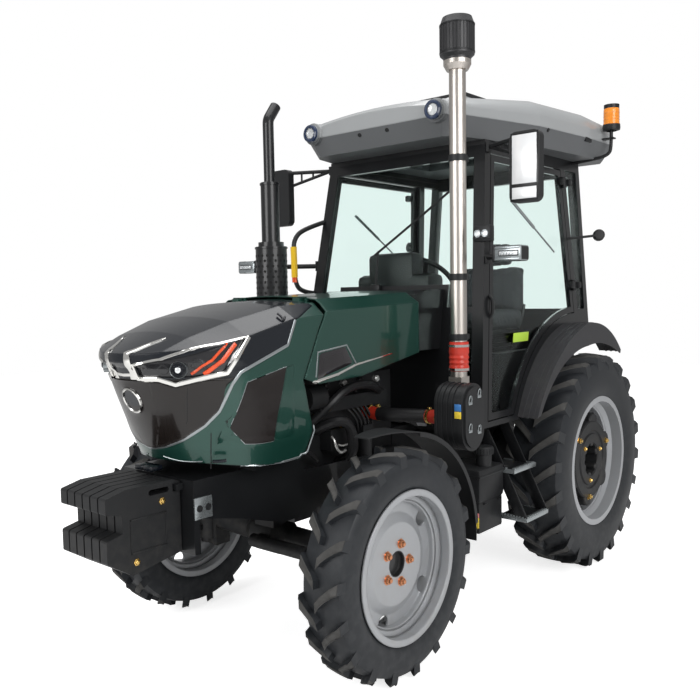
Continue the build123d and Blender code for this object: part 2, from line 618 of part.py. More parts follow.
hinge_at = ((hood_rear + cowl_front) / 2, hood_top)
hinge_pin, hinge_ring, leaf, leaf_low = 1.8, 3.4, 28.0, 24.0


def hinge_half(x, width, y_leaf):
    """Ring round the bonnet's hinge pin with the leaf that joins it to a skin."""
    y0, y1 = sorted((hinge_at[0], y_leaf))
    piece = block(x - width / 2, x + width / 2, y0, y1, hood_top - leaf_low, hood_top - 2)
    return piece + rod((x - width / 2, *hinge_at), (x + width / 2, *hinge_at), hinge_ring)


bonnet = hood_shell - dark_region - mesh_hole
crown = (hood_shell & dark_inner & above) - lamp_hole - mirrored(lamp_hole)
hinge_x, hinge_width = 200.0, 40.0
for side in (1, -1):
    bonnet = bonnet + hinge_half(side * hinge_x, hinge_width, hinge_at[0] - leaf)
bonnet = bonnet - rod((-300, *hinge_at), (300, *hinge_at), hinge_pin + 0.05)
save(bonnet, "bonnet")
save(crown, "bonnet_crown")

shield = (hood_form(1.5) - hood_form(1.5 + hood_skin)) & dark_inner & below
slot_rows, slot_pitch, slot_height = 8, 27.0, 9.0
emblem_z, emblem_radius = 1240.0, 52.0
for k in range(slot_rows):
    low = split_z - 42.0 - k * slot_pitch
    reach = 270.0 - 21.0 * k
    slot = block(-reach, reach, ahead(1000), ahead(500), low, low + slot_height)
    slot -= rod((0, ahead(1000), emblem_z), (0, ahead(400), emblem_z), emblem_radius + 8)
    shield -= slot
emblem = rod((0, ahead(830), emblem_z), (0, ahead(770), emblem_z),
             emblem_radius) & (hood_form(-4.0) - hood_form(6.0))
emblem -= rod((0, ahead(840), emblem_z), (0, ahead(760), emblem_z), emblem_radius - 9)
side_mesh = (hood_form(2.0) - hood_form(5.0)) & extrude(offset(mesh_face, -seam), 1000, dir=(1, 0, 0))
save(shield + emblem + side_mesh, "grille")

lamp_body = (hood_form(5.0) - hood_form(24.0)) & extrude(offset(lamp_face, -seam), 400, dir=(1, 0, 0))
lens_places = [(0.50 * hood_half, ahead(805), 1368.0), (0.80 * hood_half, ahead(730), 1384.0)]
for x, y, z in lens_places:
    lamp_body += rod((x, y, z), (x, y + 60, z), 20) & hood_form(2.0)
save(pair(lamp_body), "headlamps")

# ---- Fixed cowl behind the bonnet ----
cowl_rows = [  # y, crown's middle, crease's half width, crease height, side's top
    (ahead(210), hood_top + 4, 286.0, hood_top - 14, hood_top - 68),
    (cowl_rear, 1656.0, 292.0, 1642.0, 1592.0)]


def cowl_form(inset):
    """The cowl's closed outer form, or the form inside its skin."""
    rows = [(front_axle_y - y, *rest) for y, *rest in cowl_rows]
    box = block(-hood_half + inset, hood_half - inset, ahead(210), cowl_rear, 900, 1700)
    return loft([crown_section(row, inset) for row in rows], ruled=True) & box


cowl_outer, cowl_inner = cowl_form(0.0), cowl_form(hood_skin)
cowl_side = [(cowl_front, 1700), (cowl_front, 1601), (ahead(90), 1489), (ahead(192), 1284),
             (ahead(100), 1254),
             (-1700, 1262), (cowl_rear, 1340), (cowl_rear, 1700)]
cowl = (cowl_outer - cowl_inner) & side_plate(cowl_side, -500, 500)
cowl = cowl + (cowl_outer & block(-500, 500, cowl_rear - 14, cowl_rear - 4, 1345, 1700))
for side in (1, -1):
    for step in (-1, 1):
        cowl = cowl + hinge_half(side * hinge_x + step * (hinge_width / 2 + 10 + seam), 20,
                                 hinge_at[0] + leaf)
    cowl = cowl + rod((side * hinge_x - 36, *hinge_at), (side * hinge_x + 36, *hinge_at), hinge_pin)
save(cowl, "cowl")

# ---- Cab ----
door_low_z, door_high_z = 984.0, 2352.0
arc_front, arc_mid, arc_top = (-700.0, 965.0), (-440.0, 1270.0), (-60.0, 1440.0)
arc_back, arc_tail = (200.0, 1410.0), (445.0, 1254.0)


band = [ThreePointArc(*[(fender_inner, y, z) for y, z in (arc_front, arc_mid, arc_top)]),
        ThreePointArc(*[(fender_inner, y, z) for y, z in (arc_top, arc_back, arc_tail)])]
fender_solid_edges = band + [Line((fender_inner, 445, 1254), (fender_inner, 437, 1247)),
                             ThreePointArc((fender_inner, 437, 1247), (fender_inner, 196, 1402),
                                           (fender_inner, -60, 1432)),
                             ThreePointArc((fender_inner, -60, 1432), (fender_inner, -435, 1264),
                                           (fender_inner, -692, 965)),
                             Line((fender_inner, -692, 965), (fender_inner, -700, 965))]
fender_skin = extrude(make_face(fender_solid_edges), fender_outer - fender_inner, dir=(1, 0, 0))
cab_side_room = front_plate([(side_x(900) + seam, 900), (side_x(1500) + seam, 1500), (500, 1500),
                             (500, 900)], -800, 600)
fender_skin = fender_skin - cab_side_room
lip_edges = [ThreePointArc((fender_outer - 8, -60, 1436), (fender_outer - 8, -437, 1267),
                           (fender_outer - 8, -696, 970)),
             Line((fender_outer - 8, -696, 970), (fender_outer - 8, -660, 975)),
             ThreePointArc((fender_outer - 8, -660, 975), (fender_outer - 8, -440, 1190),
                           (fender_outer - 8, -60, 1310)),
             ThreePointArc((fender_outer - 8, -60, 1310), (fender_outer - 8, 200, 1308),
                           (fender_outer - 8, 437, 1235)),
             Line((fender_outer - 8, 437, 1235), (fender_outer - 8, 440, 1252)),
             ThreePointArc((fender_outer - 8, 440, 1252), (fender_outer - 8, 198, 1405),
                           (fender_outer - 8, -60, 1436))]
fender = fender_skin + extrude(make_face(lip_edges), 8, dir=(1, 0, 0))
rib_face = offset(make_face(fender_solid_edges), 3.0)
for depth in (34.0, 66.0, 98.0):
    fender += Pos(fender_outer - fender_inner - depth, 0, 0) * extrude(rib_face, 12, dir=(1, 0, 0))
save(fender, "rear_fender_left")
save(mirrored(fender), "rear_fender_right")

door_front = [(post_y(z) + post + swing_gap + 4, z) for z in (door_low_z, door_high_z)]
door_rear_top = (hinge_y(door_high_z) - swing_gap, door_high_z)


def circle_through(a, b, c):
    """Centre and radius of the circle through three (y, z) points."""
    ax, ay, bx, by, cx, cy = *a, *b, *c
    d = 2 * (ax * (by - cy) + bx * (cy - ay) + cx * (ay - by))
    u = ((ax ** 2 + ay ** 2) * (by - cy) + (bx ** 2 + by ** 2) * (cy - ay) + (cx ** 2 + cy ** 2)
         * (ay - by)) / d
    v = ((ax ** 2 + ay ** 2) * (cx - bx) + (bx ** 2 + by ** 2) * (ax - cx) + (cx ** 2 + cy ** 2)
         * (bx - ax)) / d
    return (u, v), hypot(ax - u, ay - v)


arc_centre, arc_radius = circle_through(arc_front, arc_mid, arc_top)
door_over_fender = 46.0
door_radius = arc_radius + door_over_fender


def on_door_arc(y):
    """Point of the door's lower rear curve, which follows the rear fender."""
    return (y, arc_centre[1] + (door_radius ** 2 - (y - arc_centre[0]) ** 2) ** 0.5)


door_curve_start = arc_centre[0] - (door_radius ** 2 - (door_low_z - arc_centre[1]) ** 2) ** 0.5
door_curve_end = hinge_y(1500) - swing_gap


def side_slab(depth_out, depth_in):
    """Slab along the cab's left side, between two depths below its outside."""
    return front_plate([(side_x(900) - depth_out, 900), (side_x(2500) - depth_out, 2500),
                        (side_x(2500) - depth_in, 2500), (side_x(900) - depth_in, 900)], -1300, 700)


def door_outline():
    """Side view of the door: straight front, top and rear edges, and a lower curve over the fender."""
    low_rear, high_rear = on_door_arc(door_curve_start + 1.0), on_door_arc(door_curve_end)
    middle = on_door_arc((door_curve_start + door_curve_end) / 2 - 60)
    corners = [(0, *low_rear), (0, *door_front[0]), (0, *door_front[1]), (0, *door_rear_top),
               (0, *high_rear)]
    edges = [Line(a, b) for a, b in zip(corners, corners[1:])]
    return make_face(edges + [ThreePointArc(corners[-1], (0, *middle), corners[0])])


def side_face(outline):
    return make_face(Polyline(*[(0, y, z) for y, z in outline], close=True))


door_face = door_outline()
window_face = offset(door_face, -34)
door_solid = extrude(door_face, 900, dir=(1, 0, 0))
door_hole = extrude(window_face, 900, dir=(1, 0, 0))
door_pin, door_ring, door_axis_out = 5.0, 9.0, 12.0
hinge_zs = (1667.0, 2281.0)


def on_hinge_axis(z):
    """Point of the left door's hinge axis at a height."""
    return (side_x(z) + door_axis_out, hinge_y(z), z)


door_hinges, hinge_bores, post_hinges = [], [], []
for z in hinge_zs:
    x, y = on_hinge_axis(z)[:2]
    door_hinges.append(block(x - 17, x + 4, y - 78, y - 8, z - 18, z + 18) + block(x - 4, x + 4, y - 8, y,
                                                                                   z - 18, z + 18)
                       + rod(on_hinge_axis(z - 18), on_hinge_axis(z + 18), door_ring))
    hinge_bores.append(rod(on_hinge_axis(z - 30), on_hinge_axis(z + 30), door_pin + 0.3))
    post_hinges.append(rod(on_hinge_axis(z - 26), on_hinge_axis(z + 26), door_pin))
    for end in (-1, 1):
        middle = z + end * 24
        post_hinges.append(block(x - 14, x + 8, y, y + 30, middle - 4, middle + 4)
                           + rod(on_hinge_axis(middle - 4), on_hinge_axis(middle + 4), 8))
door = (door_solid - door_hole) & side_slab(0, door_sheet)
for hinge in door_hinges:
    door = door + hinge
for bore in hinge_bores:
    door = door - bore
glass = (extrude(offset(door_face, -34.3), 900, dir=(1, 0, 0))) & side_slab(8, 8 + glass_sheet)
save(door, "door_left")
save(mirrored(door), "door_right")
save(glass, "door_glass_left")
save(mirrored(glass), "door_glass_right")

frame_depth = 46.0
side_outline = [(post_y(cab_low), cab_low), (post_y(cab_high), cab_high), (cab_rear, cab_high),
                (cab_rear, 1300), (-300, 1300), (-480, 1230), (-690, cab_low)]
side_wall = extrude(side_face(side_outline), 900, dir=(1, 0, 0)) & side_slab(0, frame_depth)
door_opening = extrude(offset(door_face, swing_gap), 900, dir=(1, 0, 0))
quarter_rear = cab_rear - frame_depth - 4
quarter = [(hinge_y(1520) + 56, 1520), (hinge_y(2340) + 56, 2360), (quarter_rear, 2360),
           (quarter_rear, 1520)]
quarter_hole = side_plate(quarter, 0, 900)
side_wall = side_wall - door_opening - quarter_hole
for hinge in post_hinges:
    side_wall = side_wall + hinge
quarter_glass = side_plate([(y + (0.4 if y < 200 else -0.4), z + (0.4 if z < 2000 else -0.4)) for y,
                            z in quarter], 0, 900) & side_slab(9, 15)


def cross_slab(y_low, y_high, z_low, z_high, half, depth):
    """Sloping wall across the cab between two heights."""
    return side_plate([(y_low, z_low), (y_high, z_high), (y_high + depth, z_high), (y_low + depth, z_low)],
                      -half, half)


front_wall = cross_slab(post_y(cab_low), post_y(cab_high), cab_low, cab_high, 700, frame_depth)
inside_sides = front_plate([(side_x(900) - 0, 900), (side_x(2500), 2500), (-side_x(2500), 2500),
                            (-side_x(900), 900)], -1300, 700)
plenum_half, plenum_top = 346.0, 1655.0
front_window = [(side_x(1560) - 66, 1560), (side_x(2340) - 66, 2340), (-(side_x(2340) - 66), 2340),
                (-(side_x(1560) - 66), 1560),
                (-plenum_half - 24, 1560), (-plenum_half - 24, plenum_top + 25),
                (plenum_half + 24, plenum_top + 25), (plenum_half + 24, 1560)]
front_low_windows = [(side_x(1060) - 66, 1060), (side_x(1530) - 66, 1530), (420, 1530), (420, 1060)]
front_hole = front_plate(front_window, -1300, -700)
low_hole = front_plate(front_low_windows, -1300, -700)
front_wall = (front_wall & inside_sides) - front_hole - low_hole - mirrored(low_hole)
windscreen = extrude(offset(make_face(Polyline(*[(x, -1300, z) for x, z in front_window], close=True)),
                            -seam), 600, dir=(0, 1, 0)) & cross_slab(post_y(cab_low) + 8,
                                                                     post_y(cab_high) + 8, cab_low,
                                                                     cab_high, 700, 6)
low_glass = front_plate([(x + (0.4 if x < 450 else -0.4), z + (0.4 if z < 1300 else -0.4)) for x,
                         z in front_low_windows], -1300, -700) & cross_slab(post_y(cab_low) + 8,
                                                                            post_y(cab_high) + 8, cab_low,
                                                                            cab_high, 700, 6)
rear_wall = block(-700, 700, cab_rear - frame_depth, cab_rear, 1300, cab_high) & inside_sides
rear_wall += block(-480, 480, cab_rear - frame_depth, cab_rear, 1150, 1300)
rear_window = [(side_x(1520) - 60, 1520), (side_x(2340) - 60, 2340), (-(side_x(2340) - 60), 2340),
               (-(side_x(1520) - 60), 1520)]
rear_hole = front_plate(rear_window, 0, 700)
rear_wall = rear_wall - rear_hole
rear_glass = front_plate([(x - (0.4 if x > 0 else -0.4), z + (0.4 if z < 2000 else -0.4)) for x,
                          z in rear_window], cab_rear - 20, cab_rear - 14)
top_ring = plan_plate([(side_x(2400), post_y(2400)), (side_x(2400), cab_rear), (-side_x(2400), cab_rear),
                       (-side_x(2400), post_y(2400))], 2395, cab_high)
top_ring = top_ring - plan_plate([(side_x(2400) - 50, post_y(2400) + 50),
                                  (side_x(2400) - 50, cab_rear - 50), (-side_x(2400) + 50, cab_rear - 50),
                                  (-side_x(2400) + 50, post_y(2400) + 50)], 2300, 2500)
plenum = side_plate([(cowl_rear + seam, 1345), (cowl_rear + seam, 1630), (-1100, plenum_top),
                     (post_y(plenum_top) + 10, plenum_top), (post_y(1345) + 10, 1345)], -plenum_half,
                    plenum_half)
cab_frame = plenum + side_wall + mirrored(side_wall) + front_wall + rear_wall + (top_ring & inside_sides)
save(cab_frame, "cab_frame")
save(group(windscreen, low_glass, mirrored(low_glass)), "front_glass")
save(rear_glass, "rear_glass")
save(pair(quarter_glass), "quarter_glass")

arch_x, arch_top, sheet = 470.0, 1300.0, 10.0
floor_low, floor_high = cab_low + 8, cab_low + 28
floor_front = post_y(floor_high) + frame_depth + seam
arch_front, seat_base_front, floor_rear = -686.0, -320.0, cab_rear - frame_depth - seam
floor = block(-556, 556, floor_front, arch_front + sheet, floor_low, floor_high)
floor += block(-arch_x, arch_x, arch_front, seat_base_front + 20, floor_low, floor_high)
floor += block(-arch_x, arch_x, seat_base_front, seat_base_front + 20, floor_low, 1200)
floor += block(-arch_x, arch_x, seat_base_front, floor_rear, 1180, 1200)
for side in (1, -1):
    x0, x1 = sorted((side * (arch_x - sheet), side * arch_x))
    floor += block(x0, x1, arch_front, floor_rear, floor_low, arch_top)
    x0, x1 = sorted((side * (arch_x - sheet), side * 518))
    floor += block(x0, x1, arch_front, arch_front + sheet, floor_low, arch_top)
    floor += block(x0, x1, arch_front, floor_rear, arch_top - sheet, arch_top)
save(floor, "cab_floor")

# ---- Roof ----
roof_rows = [  # y, half width, height of the shoulder, height of the crown
    (-1120.0, 440.0, 2546.0, 2606.0), (-1050.0, 512.0, 2562.0, 2640.0), (-480.0, 655.0, 2580.0, 2694.0),
    (60.0, 700.0, 2580.0, roof_high), (400.0, 702.0, 2566.0, 2682.0), (492.0, 650.0, 2548.0, 2630.0)]
shoulder_in, crown_in = 0.95, 0.82


def roof_section(row):
    """Section across the roof: flat foot, rounded shoulders and a low crown."""
    y, half, shoulder, crown_z = row
    flat_z, knee_z = crown_z - 26.0, shoulder + 0.72 * (crown_z - 26.0 - shoulder)
    edges = [Line((-half, y, roof_mid + seam), (half, y, roof_mid + seam))]
    for side in (1, -1):
        foot, top, flat = (side * half, y, roof_mid + seam), (side * half, y,
                                                              shoulder), (side * crown_in * half, y, flat_z)
        edges += [Line(foot, top), ThreePointArc(top, (side * shoulder_in * half, y, knee_z), flat)]
    edges.append(ThreePointArc((-crown_in * half, y, flat_z), (0, y, crown_z),
                               (crown_in * half, y, flat_z)))
    return make_face(edges)


roof_plan = [(half, y) for y, half, *heights in roof_rows] + [(-half, y) for y, half,
                                                              *heights in reversed(roof_rows)]
under_plan = [(x * 0.93, (y + 300) * 0.94 - 300) for x, y in roof_plan]
fascia = loft([Pos(0, 0, roof_low) * make_face(Polyline(*under_plan, close=True)),
               Pos(0, 0, roof_mid) * make_face(Polyline(*roof_plan, close=True))], ruled=True)
hatch_half, hatch_front, hatch_rear = 300.0, -700.0, -120.0
hatch_hole = block(-hatch_half, hatch_half, hatch_front, hatch_rear, 2300, 2800)
lamp_x, lamp_z, lamp_front, lamp_pod = 410.0, 2545.0, -1132.0, 60.0
roof_cap = loft([roof_section(row) for row in roof_rows], ruled=True)
for x in (lamp_x, -lamp_x):
    pod = rod((x, lamp_front, lamp_z), (x, lamp_front + 190, lamp_z), lamp_pod)
    roof_cap += pod & block(-700, 700, -1400, 0, roof_mid + seam, 2800)
    fascia += pod & block(-700, 700, -1400, 0, 2300, roof_mid)
curb = 25.0
roof_cap += block(-hatch_half - curb, hatch_half + curb, hatch_front - curb, hatch_rear + curb,
                  roof_mid + 60, roof_high)
save(roof_cap - hatch_hole, "roof")
save(fascia - hatch_hole, "roof_fascia")
hatch = block(-hatch_half - curb, hatch_half + curb, hatch_front - curb, hatch_rear + curb,
              roof_high + seam, roof_high + 22)
hatch += block(-hatch_half + 10, hatch_half - 10, hatch_front + 30, hatch_rear - 10, roof_high - 20,
               roof_high + seam)
hatch_hinge = (-95.0, roof_high + 6.0)
for x in (-220.0, 220.0):
    hatch += rod((x - 25, *hatch_hinge), (x + 25, *hatch_hinge), 4)
save(hatch, "roof_hatch")

# ---- Lamps, mirrors, handrail ----
lamps = []
for x in (lamp_x, -lamp_x):
    lamps.append(rod((x, lamp_front - 22, lamp_z), (x, lamp_front - seam, lamp_z), lamp_pod - 13))
beacon_x, beacon_y = 752.0, 250.0
(y_before, half_before, *_), (y_after, half_after, *_) = roof_rows[3], roof_rows[4]
beacon_seat = half_before + (half_after - half_before) * (beacon_y + 20 - y_before) / (y_after - y_before)
beacon_foot, beacon_base = roof_mid + 14.0, 2588.0
beacon = block(beacon_seat + seam, beacon_x + 20, beacon_y - 20, beacon_y + 20, beacon_foot,
               beacon_foot + 8)
beacon += rod((beacon_x, beacon_y, beacon_foot + 8), (beacon_x, beacon_y, beacon_base), 10)
beacon += rod((beacon_x, beacon_y, beacon_base), (beacon_x, beacon_y, beacon_base + 30), 50)
beacon += rod((beacon_x, beacon_y, beacon_base), (beacon_x, beacon_y, beacon_base + 146), 44)
lamps.append(beacon)
save(group(*lamps), "roof_lamps")


def pillar_seat(z, length, y_inset):
    """Small bracket on the outside of the cab's front post."""
    x = side_x(z - length / 2) + seam
    y = post_y(z) + y_inset
    return block(x, x + 16, y, y + 36, z - length / 2, z + length / 2)


lamp_arm_z, mirror_arm_z = 1812.0, 2385.0
lamp_shell = block(865, 940, -1242, -1178, lamp_arm_z - 36, lamp_arm_z + 36)
side_lamp = fillet(lamp_shell.edges().filter_by(Axis.Y), 14) + pillar_seat(lamp_arm_z, 60, 4)
lamp_post = (side_x(lamp_arm_z) + 12, post_y(lamp_arm_z) + 22, lamp_arm_z)
side_lamp += rod(lamp_post, (880, -1207, lamp_arm_z), 14)
work_lamp = block(680, 760, -1222, -1180, lamp_arm_z + 70, lamp_arm_z + 132)
work_lamp = fillet(work_lamp.edges().filter_by(Axis.Y), 12) + block(712, 728, -1210, -1160, lamp_arm_z - 4,
                                                                    lamp_arm_z + 72)
arm_share = (720 - lamp_post[0]) / (880 - lamp_post[0])
arm_y = lamp_post[1] + arm_share * (-1207 - lamp_post[1])
work_lamp += rod((720, arm_y, lamp_arm_z), (720, -1210, lamp_arm_z), 9)
save(group(side_lamp + work_lamp, mirrored(side_lamp)), "side_lamps")
head_low, head_high = 2065.0, 2405.0
head = block(742, 900, -992, -946, head_low, head_high)
head = fillet(head.edges().filter_by(Axis.Y), 34) + pillar_seat(mirror_arm_z, 50, 4)
arm_root = (side_x(mirror_arm_z) + 12, post_y(mirror_arm_z) + 22, mirror_arm_z)
arm_tip = (790.0, -966.0, mirror_arm_z)
head += rod(arm_root, arm_tip, 11)


def on_arm(share, drop):
    """Point a share of the way along the mirror's arm, lowered by a drop."""
    return tuple(a + share * (b - a) for a, b in zip(arm_root[:2], arm_tip[:2])) + (mirror_arm_z - drop,)


arm_drop = 90.0
head += rod(on_arm(0.06, 0.06 * arm_drop), on_arm(1.0, arm_drop), 9)
for share in (0.4, 0.65):
    head += rod(on_arm(share, share * arm_drop), on_arm(share, 0.0), 6)
save(pair(head), "mirrors")

# ---- Intake, air box, exhaust, hoses ----
stack_x, stack_y, stack_radius = 580.0, -1200.0, 40.0
box_in, box_out, box_front, box_back, box_low, box_top = 585.0, 750.0, -1436.0, -1238.0, 895.0, 1215.0
box_r = (box_back - box_front) / 2
box_y = (box_front + box_back) / 2


def stadium(x0, x1, inset):
    """Upright round-ended slab from x0 to x1 in the air box's outline, drawn in by an inset."""
    radius = box_r - inset
    slab = block(x0, x1, box_y - radius, box_y + radius, box_low + box_r, box_top - box_r)
    for z in (box_low + box_r, box_top - box_r):
        slab += rod((x0, box_y, z), (x1, box_y, z), radius)
    return slab


rib_width, rib_height, rib_count = 8.0, 5.0, 4
cap_depth, cap_step = 34.0, 16.0
air_box = stadium(box_in, box_out - cap_depth, rib_height)
for k in range(rib_count):
    rib_x = box_in + 12.0 + k * (box_out - cap_depth - box_in - 20.0) / rib_count
    air_box += stadium(rib_x, rib_x + rib_width, 0.0)
air_box += stadium(box_out - cap_depth, box_out - 10, 0.0) + stadium(box_out - 10, box_out, cap_step)
save(air_box, "air_box")

duct_low, stack_low, cap_low, stack_top = box_top - box_r - 40, 1225.0, 2716.0, 2946.0
cleaner_radius, bowl_radius = 66.0, 82.0
stack = rod((stack_x, stack_y, stack_low), (stack_x, stack_y, cap_low), stack_radius)
stack += block(stack_x - 36, stack_x + 36, box_back + seam, stack_y + 36, duct_low, stack_low + 1)
cleaner_rows = [(0, cap_low - 26), (52, cap_low - 26), (cleaner_radius, cap_low),
                (cleaner_radius, cap_low + 30),
                (bowl_radius, cap_low + 44), (bowl_radius, stack_top - 46), (70, stack_top - 12),
                (34, stack_top), (0, stack_top)]
cleaner_face = make_face(Polyline(*[(x, 0, z) for x, z in cleaner_rows], close=True))
stack += Pos(stack_x, stack_y, 0) * revolve(cleaner_face, Axis.Z, 360)
save(stack, "intake")

exhaust_x, exhaust_y, shield_radius, silencer_radius = -470.0, -1430.0, 86.0, 70.0
shield_low, shield_high, outlet_high, tip_radius = 1290.0, 1907.0, 2254.0, 30.0
exhaust = rod((exhaust_x, exhaust_y, shield_low), (exhaust_x, exhaust_y, shield_high + 24), silencer_radius)
shield_ring = rod((exhaust_x, exhaust_y, shield_low), (exhaust_x, exhaust_y, shield_high), shield_radius)
exhaust += shield_ring - rod((exhaust_x, exhaust_y, shield_high - 60),
                             (exhaust_x, exhaust_y, shield_high + 1), shield_radius - 4)
exhaust += rod((exhaust_x, exhaust_y, shield_high), (exhaust_x, exhaust_y, outlet_high), 50)
tip_points = [(exhaust_x, exhaust_y, outlet_high), (exhaust_x, exhaust_y, 2590),
              (exhaust_x, exhaust_y + 60, 2670)]
exhaust += pipe(tip_points, tip_radius, 2 * tip_radius)
elbow_z = 1180.0
elbow_points = [(exhaust_x, exhaust_y, shield_low), (exhaust_x, exhaust_y, elbow_z),
                (-engine_half - seam, exhaust_y, elbow_z)]
exhaust += pipe(elbow_points, 34, 70)
save(exhaust, "exhaust")

hose_z, hose_radius = 1038.0, 34.0
hose_points = [(box_in - seam, box_y, hose_z), (480, box_y, hose_z), (300, -1400, hose_z),
               (engine_half + seam, -1400, hose_z)]
save(pipe(hose_points, hose_radius, 3.2 * hose_radius), "hoses")

# ---- Tank, battery box, steps ----
tank_in, tank_out, tank_front, tank_back = 420.0, 690.0, -1190.0, -960.0
tank_low, tank_waist, tank_top = 288.0, 440.0, 745.0
corner_round, waist_inset = 24.0, 9.0


def rounded_block(corners, radius):
    """Rectangular solid with its four upright edges rounded."""
    solid = block(*corners)
    return fillet(solid.edges().filter_by(Axis.Z), radius)


tank = rounded_block((tank_in, tank_out, tank_front, tank_back, tank_waist, tank_top), corner_round)
tank = chamfer(tank.edges().group_by(Axis.Z)[-1], 14)
ridge_z = tank_waist + 95.0
tank += rounded_block((tank_in - 3, tank_out + 3, tank_front - 3, tank_back + 3, ridge_z, ridge_z + 8),
                      corner_round)
lower_tank = rounded_block((tank_in + waist_inset, tank_out - waist_inset, tank_front + waist_inset,
                            tank_back - waist_inset,
                            tank_low, tank_waist), corner_round)
lower_tank -= side_plate([(tank_front, tank_low - 30), (tank_back, tank_low - 30),
                          (tank_back, tank_low + 34), (tank_front, tank_low - 10)],
                         tank_in - 20, tank_out + 20)
filler_at, filler_radius, filler_height = (640.0, -1040.0), 46.0, 80.0
tank += lower_tank + rod((*filler_at, tank_top), (*filler_at, tank_top + filler_height), filler_radius - 4)
for low, high in ((0.45, 0.62), (0.70, 0.96)):
    tank += rod((*filler_at, tank_top + low * filler_height), (*filler_at, tank_top + high * filler_height),
                filler_radius)
save(tank, "fuel_tank")

battery = rounded_block((-680, -420, tank_front, tank_back, 480, tank_top), 12)
battery += rounded_block((-686, -414, tank_front - 6, tank_back + 6, tank_top - 38, tank_top - 8), 14)
save(battery, "battery_box")

step_front, step_back, tread, tread_lip = -950.0, -720.0, 18.0, 30.0
step = None
for inner, outer, top in ((560, 735, 730), (600, 810, 300)):
    plate = block(inner, outer, step_front, step_back, top - tread, top) - block(inner + 14, outer - 12,
                                                                                 step_front + 12,
                                                                                 step_back - 12, top - 6,
                                                                                 top + 1)
    for k in range(5):
        y = step_front + 30 + k * (step_back - step_front - 60) / 4
        plate += block(inner + 10, outer - 8, y - 5, y + 5, top - 6, top)
    plate += block(outer - 6, outer, step_front, step_back, top - tread_lip, top)
    step = plate if step is None else step + plate
cheek = [(560, cab_low - seam), (625, cab_low - seam), (735, 730), (810, 300), (810, 270), (780, 270),
         (700, 282), (600, 600), (560, 712)]
for y in (step_front, step_back - 6):
    step += front_plate(cheek, y, y + 6)
save(pair(step), "steps")

# ---- Inside the cab ----
hub = (0, -636, 1704)
rake_y, rake_z, wheel_ring, wheel_grip = 0.69, 0.72, 190.0, 14.0


def down_column(distance):
    """Point of the steering column that far below the wheel's hub."""
    return (0, hub[1] - distance * rake_y, hub[2] - distance * rake_z)


console = loft([Pos(0, -835, floor_high + seam) * Rectangle(400, 150),
                Pos(0, -838, 1500) * Rectangle(330, 140)], ruled=True)
hood = side_plate([(-915, 1500), (-915, 1560), (-850, 1630), (-770, 1610), (-752, 1500)], -190, 190)
dash = console + hood + rod((0, -800, 1534), down_column(200), 40) + rod(down_column(200),
                                                                         down_column(10.4), 25)
save(dash, "dashboard")
wheel_plane = Plane(origin=hub, z_dir=(0, rake_y, rake_z))
wheel = wheel_plane * Torus(wheel_ring, wheel_grip) + wheel_plane * Cylinder(45, 20)
for angle in (90, 210, 330):
    spoke = Rot(0, 0, angle) * Pos(wheel_ring / 2, 0, 0) * Box(wheel_ring, 28, 10)
    wheel += wheel_plane * spoke
save(wheel, "steering_wheel")

seat_round = 40.0
cushion = block(-250, 250, -330, 170, 1400, 1500)
cushion = fillet(cushion.edges().filter_by(Axis.Z), seat_round)
back = fillet(block(-230, 230, 110, 210, 1500, 1800).edges().filter_by(Axis.Y), seat_round)
rest = fillet(block(-140, 140, 130, 200, 1790, 1950).edges().filter_by(Axis.Y), seat_round)
for side in (1, -1):
    x0, x1 = sorted((side * 205.0, side * 250.0))
    cushion += fillet(block(x0, x1, -300, 130, 1480, 1535).edges().filter_by(Axis.Y), 18)
base = loft([Pos(0, -70, 1200) * Rectangle(360, 340), Pos(0, -70, 1400) * Rectangle(300, 300)], ruled=True)
save(cushion + back + rest + base, "seat")
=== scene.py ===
from math import cos, pi, radians, sin

import bmesh
import bpy
from mathutils import Euler, Matrix, Vector
from mathutils.bvhtree import BVHTree


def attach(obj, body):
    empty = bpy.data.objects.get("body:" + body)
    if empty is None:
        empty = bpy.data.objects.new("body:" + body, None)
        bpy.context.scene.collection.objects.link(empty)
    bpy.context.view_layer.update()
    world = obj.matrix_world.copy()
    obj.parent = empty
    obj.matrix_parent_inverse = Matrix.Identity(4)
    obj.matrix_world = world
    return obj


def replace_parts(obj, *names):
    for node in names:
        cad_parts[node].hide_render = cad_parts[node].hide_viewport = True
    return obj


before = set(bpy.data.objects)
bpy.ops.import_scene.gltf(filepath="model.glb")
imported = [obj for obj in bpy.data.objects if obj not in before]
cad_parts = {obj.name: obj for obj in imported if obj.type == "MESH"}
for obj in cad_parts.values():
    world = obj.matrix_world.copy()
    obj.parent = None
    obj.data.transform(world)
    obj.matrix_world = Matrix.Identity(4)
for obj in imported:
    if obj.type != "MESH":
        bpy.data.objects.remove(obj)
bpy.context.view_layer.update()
scene = bpy.context.scene

# ---- Camera ----
# A lens at a standing person's height, in front of the tractor and well to its left,
# turned so that the nose comes forward at the left of the picture.
eye = bpy.data.objects.new("camera", bpy.data.cameras.new("camera"))
eye.data.sensor_width, eye.data.lens = 36.0, 41.06
eye.data.shift_x, eye.data.shift_y = 0.0394, 0.0154
pitch, heading, roll = radians(90 - 4.766), radians(41.41), radians(-1.153)
aim = Euler((pitch, 0, heading), "XYZ").to_matrix() @ Matrix.Rotation(roll, 3, "Z")
eye.matrix_world = Matrix.Translation((2.660, -3.562, 1.642)) @ aim.to_4x4()
scene.collection.objects.link(eye)
scene.camera = eye

# ---- Floor and studio light ----
# A plain white studio: a wide pale floor, a bright world that shows white to the lens and
# through glass and stays dimmer for all else, and large soft boxes overhead and to the sides.
def feed(tree, target, inputs):
    """Gives each named input a value or the result of another shader node."""
    for name, value in inputs.items():
        if isinstance(value, bpy.types.NodeSocket):
            tree.links.new(value, target.inputs[name])
        else:
            target.inputs[name].default_value = value


